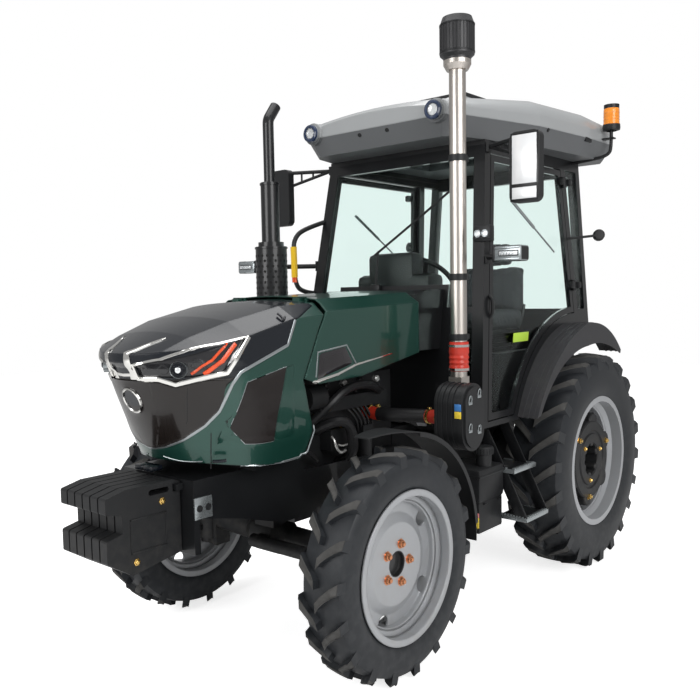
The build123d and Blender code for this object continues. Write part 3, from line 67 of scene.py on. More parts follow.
def node(tree, kind, inputs, operation=None):
    """New shader node with its inputs fed."""
    new = tree.nodes.new("ShaderNode" + kind)
    if operation:
        new.operation = operation
    feed(tree, new, inputs)
    return new


def colour_mix(tree, amount, first, second):
    """Result of mixing two colours."""
    new = tree.nodes.new("ShaderNodeMix")
    new.data_type = "RGBA"
    feed(tree, new, {0: amount, 6: first, 7: second})
    return new.outputs[2]


def ramp(tree, value, **limits):
    """Result of a map range node, with its limits in their usual order."""
    inputs = {"Value": value}
    inputs.update({name.replace("_", " ").title(): limit for name, limit in limits.items()})
    return node(tree, "MapRange", inputs).outputs[0]


scene.view_settings.view_transform = "Standard"
plane = bmesh.new()
bmesh.ops.create_grid(plane, x_segments=1, y_segments=1, size=14.0)
floor_mesh = bpy.data.meshes.new("floor")
plane.to_mesh(floor_mesh)
plane.free()
floor = bpy.data.objects.new("floor", floor_mesh)
scene.collection.objects.link(floor)
floor_paint = bpy.data.materials.new("studio_floor")
floor_paint.use_nodes = True
tree = floor_paint.node_tree
to_lens = node(tree, "LightPath", {}).outputs["Is Camera Ray"]
feed(tree, tree.nodes["Principled BSDF"], {
    "Base Color": (0.86, 0.86, 0.86, 1), "Roughness": 0.9, "Emission Color": (1, 1, 1, 1),
    "Emission Strength": ramp(tree, to_lens, to_max=0.75)})
floor.data.materials.append(floor_paint)

world = bpy.data.worlds.new("studio")
world.use_nodes = True
scene.world = world
tree = world.node_tree
ray = node(tree, "LightPath", {}).outputs
direct = node(tree, "Math", {0: ray["Is Camera Ray"], 1: ray["Is Transmission Ray"]}, "MAXIMUM")
feed(tree, tree.nodes["Background"], {
    "Color": (1, 1, 1, 1), "Strength": ramp(tree, direct.outputs[0], to_min=0.42)})


def soft_box(name, place, aim, width, height, watts):
    """Large rectangular studio lamp that looks at a point."""
    lamp = bpy.data.objects.new(name, bpy.data.lights.new(name, "AREA"))
    lamp.data.shape = "RECTANGLE"
    lamp.data.size, lamp.data.size_y, lamp.data.energy = width, height, watts
    way = (Vector(aim) - Vector(place)).to_track_quat("-Z", "Y")
    lamp.matrix_world = Matrix.Translation(place) @ way.to_matrix().to_4x4()
    scene.collection.objects.link(lamp)


soft_box("overhead_light", (0.0, 0.0, 6.0), (0, 0, 1), 5.0, 6.0, 230)
soft_box("left_light", (5.5, -2.0, 3.4), (0, 0, 1.2), 3.5, 3.0, 190)
soft_box("front_light", (-1.0, -7.0, 3.0), (0, 0, 1.2), 3.5, 2.5, 170)

# ---- Tyres ----
# Bias-ply farm tyres of matte black rubber: a moulded carcass, tinted slightly blue as a painted sheen, with long
# bars that run from the middle to the shoulder, wrap over it and end in a blunt block. The carcass is spun from its
# section, and one bar of each row is shaped, rounded and copied round it. Dust lies on the bars.
palette = []  # every finish, in order; faces are numbered by it until keep() renumbers them


def finish(name, colour, roughness, metallic=0.0, coat=0.0, mottle=0.12, mottle_size=3.0,
           grain=220.0, relief=0.03, dust=0.0, dust_top=0.5, dust_colour=(0.30, 0.27, 0.23)):
    """Procedural finish: uneven colour and gloss, fine grain, dust that thickens downwards."""
    material = bpy.data.materials.new(name)
    material.use_nodes = True
    tree = material.node_tree
    place = node(tree, "TexCoord", {}).outputs["Object"]

    def noise(scale, detail):
        return node(tree, "TexNoise", {"Scale": scale, "Detail": detail, "Vector": place}).outputs["Fac"]

    patches = noise(mottle_size, 6.0)
    dark = [c * (1 - mottle) for c in colour]
    pale = [min(1.0, c * (1 + mottle)) for c in colour]
    tone = colour_mix(tree, patches, (*dark, 1), (*pale, 1))
    if dust:
        height = node(tree, "SeparateXYZ", {0: place}).outputs["Z"]
        low = ramp(tree, height, from_min=dust_top, from_max=0.0)
        film = ramp(tree, noise(26.0, 8.0), from_min=0.42, from_max=0.68, to_max=dust)
        amount = node(tree, "Math", {0: low, 1: film}, "MULTIPLY").outputs[0]
        tone = colour_mix(tree, amount, tone, (*dust_colour, 1))
    bump = node(tree, "Bump", {"Strength": 0.2, "Distance": relief * 0.004, "Height": noise(grain, 3.0)})
    if coat >= 0.3:
        rounded = node(tree, "Bevel", {"Radius": 0.012})
        rounded.samples = 4
        feed(tree, bump, {"Normal": rounded.outputs[0]})
    gloss = ramp(tree, patches, to_min=max(0.02, roughness - 0.08), to_max=min(1.0, roughness + 0.08))
    feed(tree, tree.nodes["Principled BSDF"], {
        "Base Color": tone, "Roughness": gloss, "Normal": bump.outputs[0], "Metallic": metallic,
        "Coat Weight": coat, "Coat Roughness": 0.04, "Specular IOR Level": 0.5 if metallic else 0.32})
    palette.append(material)
    return material


def overlay(material, colour, roughness, metallic, *tests):
    """Second finish where the weighted distance from a centre passes each test."""
    tree = material.node_tree
    shader = tree.nodes["Principled BSDF"]
    place = node(tree, "TexCoord", {}).outputs["Object"]
    inside = 1.0
    for weight, centre, sense, limit in tests:
        away = node(tree, "VectorMath", {0: place, 1: centre}, "SUBTRACT").outputs["Vector"]
        weighted = node(tree, "VectorMath", {0: away, 1: weight}, "MULTIPLY").outputs["Vector"]
        span = node(tree, "VectorMath", {0: weighted}, "LENGTH").outputs["Value"]
        test = node(tree, "Math", {0: span, 1: limit}, sense).outputs[0]
        inside = node(tree, "Math", {0: inside, 1: test}, "MULTIPLY").outputs[0]
    tone = colour_mix(tree, inside, shader.inputs["Base Color"].links[0].from_socket, (*colour, 1))
    feed(tree, shader, {"Base Color": tone})
    for name, value in (("Roughness", roughness), ("Metallic", metallic)):
        old = shader.inputs[name]
        before = old.links[0].from_socket if old.links else old.default_value
        feed(tree, shader, {name: node(tree, "Mix", {0: inside, 2: before, 3: value}).outputs[0]})


def around(centre, radius, way):
    """Point on a circle."""
    return centre[0] + radius * cos(way), centre[1] + radius * sin(way)


def dress(material, *names):
    """Gives the solids' nodes a finish."""
    for name in names:
        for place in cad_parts[name].material_slots:
            place.material = material


def keep(solid, name, body, smooth=32.0):
    """Turns a bmesh into a piece that rides on a body, with the materials its faces use."""
    bmesh.ops.recalc_face_normals(solid, faces=solid.faces)
    used = sorted({face.material_index for face in solid.faces})
    for face in solid.faces:
        face.material_index = used.index(face.material_index)
    mesh = bpy.data.meshes.new(name)
    solid.to_mesh(mesh)
    solid.free()
    for number in used:
        mesh.materials.append(palette[number])
    mesh.shade_smooth()
    mesh.set_sharp_from_angle(angle=radians(smooth))
    piece = bpy.data.objects.new(name, mesh)
    scene.collection.objects.link(piece)
    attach(piece, body)
    return piece


def join(solid, part, place, material):
    """Adds one bmesh to another at a place, with one material."""
    bmesh.ops.remove_doubles(part, verts=part.verts, dist=1e-5)
    bmesh.ops.recalc_face_normals(part, faces=part.faces)
    for face in part.faces:
        face.material_index = palette.index(material)
    mesh = bpy.data.meshes.new("part")
    part.to_mesh(mesh)
    part.free()
    if place:
        mesh.transform(place)
    solid.from_mesh(mesh)
    bpy.data.meshes.remove(mesh)


def turned(solid, place, axis, profile, material, steps=32):
    """Spins a line of (radius, height) pairs about an axis."""
    part = bmesh.new()
    corners = [part.verts.new((radius, 0, height)) for radius, height in profile]
    edges = [part.edges.new(pair) for pair in zip(corners, corners[1:])]
    bmesh.ops.spin(part, geom=corners + edges, cent=(0, 0, 0), axis=(0, 0, 1), dvec=(0, 0, 0), angle=2 * pi,
                   steps=steps, use_merge=True, use_duplicate=False)
    pose = Vector(axis).to_track_quat("Z", "Y").to_matrix().to_4x4()
    join(solid, part, Matrix.Translation(place) @ pose, material)


def soften(part, edges, width):
    """Rounds edges."""
    bmesh.ops.bevel(part, geom=edges, offset=width, offset_type="OFFSET", affect="EDGES", segments=2,
                    profile=0.5, material=-1)


def block(solid, low, high, bevel, material, tilt=None):
    """Box with rounded edges, tilted about its own middle."""
    part = bmesh.new()
    bmesh.ops.create_cube(part, size=1.0)
    bmesh.ops.scale(part, vec=Vector(high) - Vector(low), verts=part.verts)
    soften(part, part.edges, bevel)
    middle = Matrix.Translation((Vector(low) + Vector(high)) / 2)
    join(solid, part, middle @ tilt.to_matrix().to_4x4() if tilt else middle, material)


def tube(solid, points, radius, material, smooth=True):
    """Round bar, wire or hose along a line, with soft bends where it is smooth."""
    curve = bpy.data.curves.new("line", "CURVE")
    curve.dimensions = "3D"
    curve.bevel_depth, curve.bevel_resolution, curve.use_fill_caps = radius, 3, True
    line = curve.splines.new("NURBS" if smooth else "POLY")
    line.points.add(len(points) - 1)
    for spot, point in zip(line.points, points):
        spot.co = (*point, 1)
    if smooth:
        line.order_u, line.use_endpoint_u, line.resolution_u = 3, True, 6
    holder = bpy.data.objects.new("line", curve)
    mesh = bpy.data.meshes.new_from_object(holder)
    part = bmesh.new()
    part.from_mesh(mesh)
    bpy.data.objects.remove(holder)
    bpy.data.meshes.remove(mesh)
    join(solid, part, None, material)


nose_core = (0, -1.3, 1.2)  # a point inside the nose
strip_step = 0.012


def skin(*names):
    """Search tree over the surface of the solids' nodes."""
    corners, faces = [], []
    for name in names:
        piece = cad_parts[name]
        start = len(corners)
        corners += [piece.matrix_world @ v.co for v in piece.data.vertices]
        faces += [[start + i for i in face.vertices] for face in piece.data.polygons]
    return BVHTree.FromPolygons(corners, faces)


def landed(tree, spot, core):
    """Point and outward way on a surface over a spot, seen from a point inside the shape."""
    way = (spot - Vector(core)).normalized()
    place, normal = tree.ray_cast(spot + way * 0.05, -way, 0.10)[:2]
    if place is None or (place - spot).dot(way) < -0.010 or normal.dot(way) < 0.3:
        return spot, way
    return place, normal


def strip(solid, tree, points, width, lift, material, closed=False, core=nose_core):
    """Raised moulding along a line on a surface; its edges are sunk into the surface."""
    points = [Vector(point) for point in points] + ([Vector(points[0])] if closed else [])
    line = []
    for start, end in zip(points, points[1:]):
        count = max(1, int((end - start).length / strip_step))
        line += [start.lerp(end, k / count) for k in range(count)]
    line.append(points[-1])
    laid = [landed(tree, point, core) for point in line]
    last = len(laid) - 1
    wide, narrow = width if isinstance(width, tuple) else (width, width)
    part = bmesh.new()
    bmesh.ops.create_grid(part, x_segments=last, y_segments=5, size=0.5)
    section = [(-0.5, -0.003), (-0.5, 0.6), (-0.32, 1.0), (0.32, 1.0), (0.5, 0.6), (0.5, -0.003)]
    for vertex in part.verts:
        k, row = round((vertex.co.x + 0.5) * last), round((vertex.co.y + 0.5) * 5)
        before = laid[(k - 1) % last if closed else max(k - 1, 0)]
        after = laid[(k + 1) % last if closed else min(k + 1, last)]
        up = (before[1] + laid[k][1] + after[1]).normalized()
        across = (after[0] - before[0]).normalized().cross(up)
        out, height = section[row]
        rise = height if height < 0 else height * lift
        vertex.co = laid[k][0] + across * out * (wide + (narrow - wide) * k / last) + up * rise
    join(solid, part, None, material)


def patch(solid, tree, corners, lift, material, cells=8, sunk=True, core=nose_core):
    """Four-cornered panel bent to a surface, with its rim sunk into it."""
    first, second, third, fourth = [Vector(corner) for corner in corners]
    part = bmesh.new()
    bmesh.ops.create_grid(part, x_segments=cells, y_segments=cells, size=0.5)
    for vertex in part.verts:
        u, v = vertex.co.x + 0.5, vertex.co.y + 0.5
        rim = sunk and min(u, v, 1 - u, 1 - v) < 0.01
        spot, normal = landed(tree, first.lerp(second, u).lerp(fourth.lerp(third, u), v), core)
        vertex.co = spot + normal * (-0.003 if rim else lift)
    join(solid, part, None, material)


# The carcass colour is near-black rubber with a slight blue tint that is a painted sheen.
carcass_rubber_and_sheen = finish("tyre_carcass_and_painted_sheen", (0.016, 0.018, 0.021), 0.48, mottle=0.25, mottle_size=5, grain=120,
                     relief=0.06, dust=0.10, dust_top=1.2, dust_colour=(0.16, 0.16, 0.16))
bar_rubber = finish("tyre_bars", (0.050, 0.049, 0.047), 0.8, mottle=0.3, mottle_size=9, grain=160,
                    relief=0.1, dust=0.30, dust_top=1.4, dust_colour=(0.17, 0.165, 0.16))


def mould_tyre(name, body, centre, width, radius, tread, seat, rim_width, bars, run, bar_width):
    """Spins the carcass and stands its two rows of bars on it, half a pitch apart."""
    half, bead = width / 2, rim_width / 2 - 0.020
    solid = bmesh.new()
    profile = [(bead, seat + 0.0015), (bead + 0.004, seat + 0.016), (0.90 * half, seat + 0.028),
               (0.985 * half, seat + 0.30 * (tread - seat)), (half, seat + 0.48 * (tread - seat)),
               (0.985 * half, seat + 0.66 * (tread - seat)), (0.93 * half, seat + 0.86 * (tread - seat)),
               (0.86 * half, tread - 0.012), (0.55 * half, tread - 0.003), (0.0, tread)]
    outline = profile + [(-x, r) for x, r in reversed(profile[:-1])]
    corners = [solid.verts.new((x, 0.0, r)) for x, r in outline]
    edges = [solid.edges.new((p, q)) for p, q in zip(corners, corners[1:] + corners[:1])]
    bmesh.ops.spin(solid, geom=corners + edges, cent=(0, 0, 0), axis=(1, 0, 0), dvec=(0, 0, 0),
                   angle=2 * pi, steps=96, use_merge=True, use_duplicate=False)
    crown_drop, end_drop, foot = 0.010, 0.010, tread - 0.035
    for side in (1, -1):
        bar = bmesh.new()
        bmesh.ops.create_cube(bar, size=1.0)
        bmesh.ops.subdivide_edges(bar, cuts=7, edges=[
            e for e in bar.edges if abs(e.verts[0].co.x - e.verts[1].co.x) > 0.5])
        for vertex in bar.verts:
            u, v, w = vertex.co.x + 0.5, vertex.co.y * 2, vertex.co.z > 0
            top = radius - 0.0015 - crown_drop * u ** 2 - (end_drop if u > 0.95 else 0.0)
            reach = top if w else foot - (0.045 if u > 0.8 else 0.0)
            x = min((0.003 + (0.945 * half - 0.003) * u) * (1.0 if w else 1.02), half)
            middle = run / 2 - run * u ** 0.85
            across = v * bar_width / 2 * (0.86 + 0.34 * u ** 3) * (1.0 if w else 1.28)
            turn = (middle + across) / radius + (0.0 if side > 0 else pi / bars)
            vertex.co = (side * x, reach * cos(turn), reach * sin(turn))
        rims = [e for e in bar.edges if e.calc_face_angle(0.0) > radians(35)
                and min(v.co.yz.length for v in e.verts) > tread]
        soften(bar, rims, 0.0035)
        bar_mesh = bpy.data.meshes.new("bar")
        bar.to_mesh(bar_mesh)
        bar.free()
        for k in range(bars):
            count = len(solid.verts)
            solid.from_mesh(bar_mesh)
            solid.verts.ensure_lookup_table()
            bmesh.ops.rotate(solid, cent=(0, 0, 0), matrix=Matrix.Rotation(k * 2 * pi / bars, 3, "X"),
                             verts=solid.verts[count:])
        bpy.data.meshes.remove(bar_mesh)
    for face in solid.faces:
        rubber = bar_rubber if face.calc_center_median().yz.length > tread + 0.004 else carcass_rubber_and_sheen
        face.material_index = palette.index(rubber)
    bmesh.ops.translate(solid, vec=centre, verts=solid.verts)
    return keep(solid, name, body, smooth=38)


up, hands = (0, 0, 1), ((1, "left"), (-1, "right"))
front_axle, rear_axle = (-0.890, 0.497), (1.010, 0.630)
for side, hand in hands:
    tyre = mould_tyre("front_tyre_" + hand, "wheel_front_" + hand, (side * 0.672, *front_axle), width=0.211,
                      radius=0.497, tread=0.466, seat=0.306, rim_width=0.203, bars=18, run=0.086, bar_width=0.037)
    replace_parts(tyre, "tyre_front_" + hand)
    tyre = mould_tyre("rear_tyre_" + hand, "wheel_rear_" + hand, (side * 0.659, *rear_axle), width=0.315,
                      radius=0.630, tread=0.594, seat=0.357, rim_width=0.279, bars=22, run=0.124, bar_width=0.046)
    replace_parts(tyre, "tyre_rear_" + hand)

# ---- Wheels ----
# Pressed steel rims and discs in silver-grey lacquer with faint cloudy patches, laid on the
# solids' own shapes.
silver = finish("wheel_silver", (0.38, 0.39, 0.405), 0.36, metallic=0.35, coat=0.2, mottle=0.05)
dress(silver, "rim_front_left", "rim_front_right", "rim_rear_left", "rim_rear_right")

# ---- Chassis, engine and axles ----
# Castings, plates and mouldings in several blacks, grey rear mudguards and bare steel rods:
# uneven finishes laid on the solids' own shapes, with dust in the low places.
cast_black = finish("cast_black", (0.011, 0.0115, 0.0125), 0.5, mottle=0.25, grain=120, relief=0.08, dust=0.12,
    dust_top=0.9)
plate_black = finish("plate_black", (0.008, 0.0085, 0.0095), 0.33, coat=0.25, mottle=0.2, relief=0.02)
moulded_black = finish("moulded_black", (0.012, 0.0125, 0.0135), 0.46, mottle=0.15, grain=300, relief=0.05)
bare_steel = finish("bare_steel", (0.50, 0.50, 0.50), 0.3, metallic=1.0, mottle=0.1)
dress(cast_black, "engine", "front_axle", "transmission", "front_weights", "knuckle_left", "knuckle_right")
dress(plate_black, "front_frame", "radiator", "drawbar", "lower_links", "lift_arms", "lift_rods", "cab_frame",
    "door_left", "door_right", "exhaust")
gloss_black = finish("black_lacquer", (0.005, 0.007, 0.011), 0.22, coat=0.32, mottle=0.1, mottle_size=1.2, grain=900,
    relief=0.003)
dress(gloss_black, "bonnet_crown")
dress(moulded_black, "battery_box", "cab_floor", "mirrors", "front_fender_left", "front_fender_right", "dashboard",
    "steering_wheel", "air_box")
grille_smoke = finish("grille_smoke", (0.009, 0.0065, 0.0055), 0.18, coat=0.35, mottle=0.35, mottle_size=9, grain=400,
    relief=0.01)
dress(grille_smoke, "grille")
dress(bare_steel, "track_rod", "steering_rod", "top_link", "pto_shaft")

fender_grey = finish("fender_grey", (0.034, 0.034, 0.037), 0.5, mottle=0.12, grain=300, relief=0.05, dust=0.1,
    dust_top=1.5)
dress(fender_grey, "rear_fender_left", "rear_fender_right")

# ---- Bonnet and cowl ----
# Pressed steel in dark green metallic lacquer under a clear coat, whose edges are rounded in
# the finish.
green = finish("green_lacquer", (0.010, 0.058, 0.043), 0.3, metallic=0.45, coat=0.7, mottle=0.1, mottle_size=1.2,
    grain=900, relief=0.004)
dress(green, "bonnet", "cowl")

# ---- Nose trims ----
# Chromed mouldings and clear lamp parts pressed on the hood: a frame round each headlamp, two
# blades over the lip, a blank badge ring, satin trims along the grille and the hood's lower edge.
# Each is a strip or panel bent to the hood's surface; a smoked cover lies over the grille.
def mirrored(side, points):
    """Points on the left (side 1) or right (side -1)."""
    return [(side * x, y, z) for x, y, z in points]


def boxes(solid, x0, x1, y0, y1, z0, z1, bevel, material, lean=0.0, sides=(1, -1)):
    """Box that may lean inwards, on the left (1), the right (-1) or both."""
    for side in sides:
        low, high = (min(side * x0, side * x1), y0, z0), (max(side * x0, side * x1), y1, z1)
        block(solid, low, high, bevel, material, Euler((0, side * lean, 0)))


chrome = finish("chrome", (0.80, 0.79, 0.76), 0.10, metallic=1.0, mottle=0.05, grain=500, relief=0.002)
satin = finish("satin_trim", (0.36, 0.39, 0.40), 0.28, metallic=0.8, mottle=0.08, grain=400, relief=0.01)
amber = finish("amber_strip", (0.80, 0.09, 0.02), 0.25, coat=0.6, mottle=0.25, mottle_size=40)
lens_white = finish("lens_white", (0.75, 0.77, 0.80), 0.12, metallic=0.3, coat=0.8, mottle=0.3, mottle_size=90)
mesh_dark = finish("mesh_dark", (0.010, 0.007, 0.0065), 0.4, coat=0.1, mottle=0.2, grain=700, relief=0.25)
hood = skin("bonnet", "bonnet_crown", "grille", "headlamps")
trims = bmesh.new()


def trim(points, width, lift, material, closed=False):
    """Moulding on both sides of the hood."""
    for side in (1, -1):
        strip(trims, hood, mirrored(side, points), width, lift, material, closed)


def panel(corners, lift, material, cells=8, sunk=True):
    """Panel on both sides of the hood."""
    for side in (1, -1):
        patch(trims, hood, mirrored(side, corners), lift, material, cells, sunk)


cover = bmesh.new()
bmesh.ops.create_grid(cover, x_segments=28, y_segments=24, size=0.5)
edge_line = [(1.033, 0.02), (1.046, 0.09), (1.080, 0.175), (1.136, 0.255), (1.194, 0.309), (1.240, 0.330),
    (1.318, 0.347)]
for vertex in cover.verts:
    z = 1.033 + (vertex.co.y + 0.5) * 0.285
    below = max(k for k, point in enumerate(edge_line[:-1]) if point[0] <= z + 1e-6)
    (z0, x0), (z1, x1) = edge_line[below:below + 2]
    x = 2 * vertex.co.x * (x0 + (x1 - x0) * (z - z0) / (z1 - z0))
    y = -1.611 - 0.40 * (z - 1.03) + 1.8 * x * x
    front = y + 0.02
    for lift in (-0.009, 0.0, 0.009):
        spot = hood.ray_cast(Vector((x, -2.0, z + lift)), Vector((0, 1, 0)))[0]
        if spot and abs(spot.y - y) < 0.03:
            front = min(front, spot.y + 0.4 * lift)
    vertex.co = (x, front - 0.0045, z)
bmesh.ops.smooth_vert(cover, verts=[v for v in cover.verts if not v.is_boundary], factor=0.5, use_axis_x=False,
    use_axis_y=True, use_axis_z=False)
join(trims, cover, None, grille_smoke)
strip(trims, hood, [(-0.062, -1.728, 1.345), (0, -1.735, 1.343), (0.062, -1.728, 1.345)], 0.014, 0.003, chrome)
trim([(0.115, -1.665, 1.30), (0.095, -1.625, 1.15), (0.045, -1.608, 1.050)], 0.003, 0.0035, moulded_black)
trim([(0.235, -1.60, 1.29), (0.205, -1.585, 1.16), (0.17, -1.58, 1.09)], 0.003, 0.0035, moulded_black)
trim([(0.10, -1.755, 1.386), (0.20, -1.705, 1.407), (0.28, -1.62, 1.436), (0.345, -1.53, 1.463),
    (0.375, -1.40, 1.481)], 0.011, 0.005, chrome)
trim([(0.37, -1.40, 1.481), (0.36, -1.443, 1.42), (0.35, -1.50, 1.345), (0.275, -1.575, 1.322),
    (0.213, -1.642, 1.305), (0.165, -1.688, 1.328), (0.085, -1.725, 1.33)], 0.021, 0.006, chrome)
trim([(0.085, -1.725, 1.33), (0.085, -1.75, 1.386)], 0.014, 0.005, chrome)
trim([(0.06, -1.715, 1.325), (0.066, -1.76, 1.39), (0.066, -1.76, 1.428), (0.105, -1.69, 1.465),
    (0.14, -1.63, 1.486)], (0.046, 0.006), 0.005, chrome)
trim([(0.300, -1.575, 1.345), (0.340, -1.515, 1.39), (0.362, -1.465, 1.458)], 0.018, 0.004, amber)
trim([(0.262, -1.605, 1.345), (0.318, -1.550, 1.39), (0.350, -1.50, 1.455)], 0.011, 0.004, amber)
panel([(0.345, -1.51, 1.352), (0.362, -1.47, 1.40), (0.366, -1.44, 1.45), (0.360, -1.48, 1.42)], 0.004, lens_white, 4)
trim([(0.37, -1.132, 1.537), (0.37, -1.180, 1.435), (0.37, -1.447, 1.345), (0.355, -1.48, 1.30),
    (0.309, -1.511, 1.194), (0.255, -1.541, 1.136), (0.175, -1.582, 1.080), (0.09, -1.605, 1.046),
    (0, -1.611, 1.030)], 0.013, 0.003, satin)
trim([(0.265, -1.519, 1.105), (0.235, -1.50, 0.955)], 0.004, 0.001, moulded_black)
trim([(0.05, -1.590, 1.000), (0.12, -1.565, 0.985), (0.205, -1.516, 0.985)], 0.005, 0.002, satin)
trim([(0.37, -1.030, 1.080), (0.37, -1.026, 1.056), (0.365, -1.068, 0.970), (0.355, -1.103, 0.947),
    (0.345, -1.25, 0.947), (0.33, -1.35, 0.951), (0.30, -1.40, 0.957)], 0.009, 0.003, satin)
panel([(0.37, -1.13, 1.37), (0.366, -1.43, 1.335), (0.288, -1.51, 1.06), (0.36, -1.13, 1.035)], 0.002, green, 14)
panel([(0.370, -1.413, 1.302), (0.37, -1.193, 1.345), (0.363, -1.245, 1.157), (0.315, -1.465, 1.122)], 0.0035,
    mesh_dark, 12, sunk=False)
panel([(0.315, -1.465, 1.122), (0.363, -1.245, 1.157), (0.36, -1.266, 1.047), (0.334, -1.402, 1.052)], 0.0035,
    mesh_dark, 12, sunk=False)
trim([(0.37, -1.193, 1.345), (0.363, -1.245, 1.157), (0.36, -1.266, 1.047), (0.334, -1.402, 1.052),
    (0.315, -1.465, 1.122), (0.368, -1.413, 1.302)], 0.006, 0.002, satin, closed=True)
for side in (1, -1):
    for profile, material in (([(0, 0.022), (0.012, 0.020), (0.021, 0.010), (0.024, 0.010), (0.026, 0.014),
            (0.029, 0.014), (0.030, -0.01)], gloss_black), ([(0.0295, 0.010), (0.033, 0.013), (0.034, -0.01)], satin),
            ([(0, 0.0235), (0.008, 0.0225), (0.012, 0.0195)], lens_white)):
        turned(trims, (side * 0.240, -1.648, 1.366), (side * 0.62, -0.75, -0.05), profile, material)
    tube(trims, mirrored(side, [(0.300, -1.475, 0.992), (0.285, -1.500, 0.990), (0.262, -1.512, 0.990)]), 0.007,
        gloss_black)
    tube(trims, mirrored(side, [(0.330, -1.195, 1.565), (0.352, -1.195, 1.556), (0.366, -1.200, 1.535),
        (0.356, -1.182, 1.548), (0.350, -1.172, 1.552)]), 0.005, gloss_black)
boxes(trims, 0.002, 0.055, -1.66, -1.60, 0.945, 0.965, 0.004, gloss_black)
badge, forward = (0, -1.690, 1.238), (0, -0.93, -0.37)
turned(trims, badge, forward, [(0.047, -0.01), (0.047, 0.009), (0.051, 0.012), (0.056, 0.010), (0.057, -0.01)],
    chrome, 48)
turned(trims, badge, forward, [(0, 0.006), (0.047, 0.006)], gloss_black, 48)
keep(trims, "nose_trims", "bonnet")

# ---- Cowl windows and seams ----
# Smoked panels let into the flanks of the cowl, with a satin edge and a bright moulding under
# them, bent to the cowl's surface.
smoked = finish("smoked_panel", (0.016, 0.014, 0.016), 0.10, coat=0.7, mottle=0.3, mottle_size=14)
side_skin, middle = skin("cowl"), (0, -0.7, 1.35)
flanks = bmesh.new()
for side in (1, -1):
    patch(flanks, side_skin, mirrored(side, [(0.37, -1.02, 1.262), (0.37, -0.735, 1.325), (0.37, -0.800, 1.412),
        (0.37, -0.995, 1.392)]), 0.003, smoked, core=middle)
    strip(flanks, side_skin, mirrored(side, [(0.37, -1.010, 1.285), (0.37, -0.995, 1.392), (0.37, -0.800, 1.412),
        (0.37, -0.735, 1.325)]), 0.007, 0.003, satin, core=middle)
    strip(flanks, side_skin, mirrored(side, [(0.37, -1.035, 1.262), (0.37, -0.866, 1.285), (0.37, -0.735, 1.318),
        (0.37, -0.461, 1.351)]), (0.016, 0.006), 0.004, chrome, core=middle)
keep(flanks, "cowl_panels", "chassis")

# ---- Glass ----
# Toughened glass in the solids' own panes: a pale green tint that drifts a little, under a thin
# uneven film of dust.
glass = bpy.data.materials.new("tinted_glass")
glass.use_nodes = True
tree = glass.node_tree
place = node(tree, "TexCoord", {}).outputs["Object"]
film = node(tree, "TexNoise", {"Scale": 5.0, "Detail": 4.0, "Vector": place}).outputs["Fac"]
feed(tree, tree.nodes["Principled BSDF"],
    {"Base Color": colour_mix(tree, film, (0.86, 0.945, 0.92, 1), (0.88, 0.955, 0.94, 1)),
    "Roughness": ramp(tree, film, to_min=0.01, to_max=0.04), "Transmission Weight": 1.0, "IOR": 1.12})
dress(glass, "front_glass", "rear_glass", "quarter_glass", "door_glass_left", "door_glass_right")

# ---- Roof ----
# Moulded plastic shell, pale grey above a darker fascia, with a black hatch: cloudy finishes
# laid on the solids' own shapes.
roof_grey = finish("roof_grey", (0.31, 0.32, 0.325), 0.34, coat=0.3, mottle=0.04)
fascia_grey = finish("fascia_grey", (0.115, 0.12, 0.125), 0.4, mottle=0.06)
dress(roof_grey, "roof")
dress(fascia_grey, "roof_fascia")
dress(moulded_black, "roof_hatch")

# ---- Stacks, lamps and hoses ----
# Polished intake tube, lamp bodies and red silicone hoses: finishes laid on the solids' own
# shapes, dark where a lamp pod meets the cab side.
polished = finish("polished_tube", (0.56, 0.52, 0.48), 0.34, metallic=1.0, mottle=0.06)
red_hose = finish("red_hose", (0.45, 0.03, 0.015), 0.45, mottle=0.15)
dress(polished, "intake")
lamp_grey = finish("lamp_pods", (0.24, 0.25, 0.255), 0.36, mottle=0.04)
overlay(lamp_grey, (0.012, 0.012, 0.013), 0.4, 0.0, ((1, 0, 0), (0, 0, 0), "GREATER_THAN", 0.62))
dress(lamp_grey, "roof_lamps")
dress(moulded_black, "side_lamps")
lamp_dark = finish("lamp_dark", (0.02, 0.02, 0.022), 0.15, coat=0.6, mottle=0.05)
dress(lamp_dark, "headlamps")
dress(red_hose, "hoses")

# ---- Wheel weights, nuts and hub openings ----
# The rear wheels carry a black cast weight with gilt bolts; the front ones show copper nuts
# round a hub opening painted as a black disc: the black hub, with painted shade. Bolts are plated steel with domed
# heads.
front_silver = finish("front_wheel_silver", (0.36, 0.37, 0.385), 0.34, metallic=0.4, coat=0.3, mottle=0.06, dust=0.2,
    dust_top=0.9)
overlay(front_silver, (0.60, 0.22, 0.10), 0.3, 0.9, ((1, 0, 0), (0, 0, 0), "GREATER_THAN", 0.7035),
    ((0, 1, 1), (0, *front_axle), "LESS_THAN", 0.105))
# Near-black disc on the front rim's middle: the black hub seen through it, and painted shade of the opening.
overlay(front_silver, (0.012, 0.012, 0.013), 0.5, 0.0, ((0, 1, 1), (0, *front_axle), "LESS_THAN", 0.056))
dress(front_silver, "rim_front_left", "rim_front_right")
overlay(silver, (0.020, 0.021, 0.022), 0.5, 0.0, ((1, 0, 0), (0, 0, 0), "GREATER_THAN", 0.636),
    ((0, 1, 1), (0, *rear_axle), "LESS_THAN", 0.29))
gilt = finish("gilt_bolts", (0.75, 0.50, 0.16), 0.25, metallic=1.0, mottle=0.15, mottle_size=60)
copper = finish("copper_nuts", (0.65, 0.28, 0.14), 0.28, metallic=1.0, mottle=0.15, mottle_size=60)
dome_bolt = [(0, 0.014), (0.006, 0.013), (0.010, 0.009), (0.011, 0.004), (0.015, 0.003), (0.016, -0.003)]
hub_x, nut_x, bolt_x, front_nut_x = 0.684, 0.748, 0.752, 0.702
copper_nut = [(0, 0.024), (0.009, 0.022), (0.012, 0.014), (0.0165, 0.013), (0.0175, 0.002), (0.022, 0.001),
    (0.0225, -0.004)]
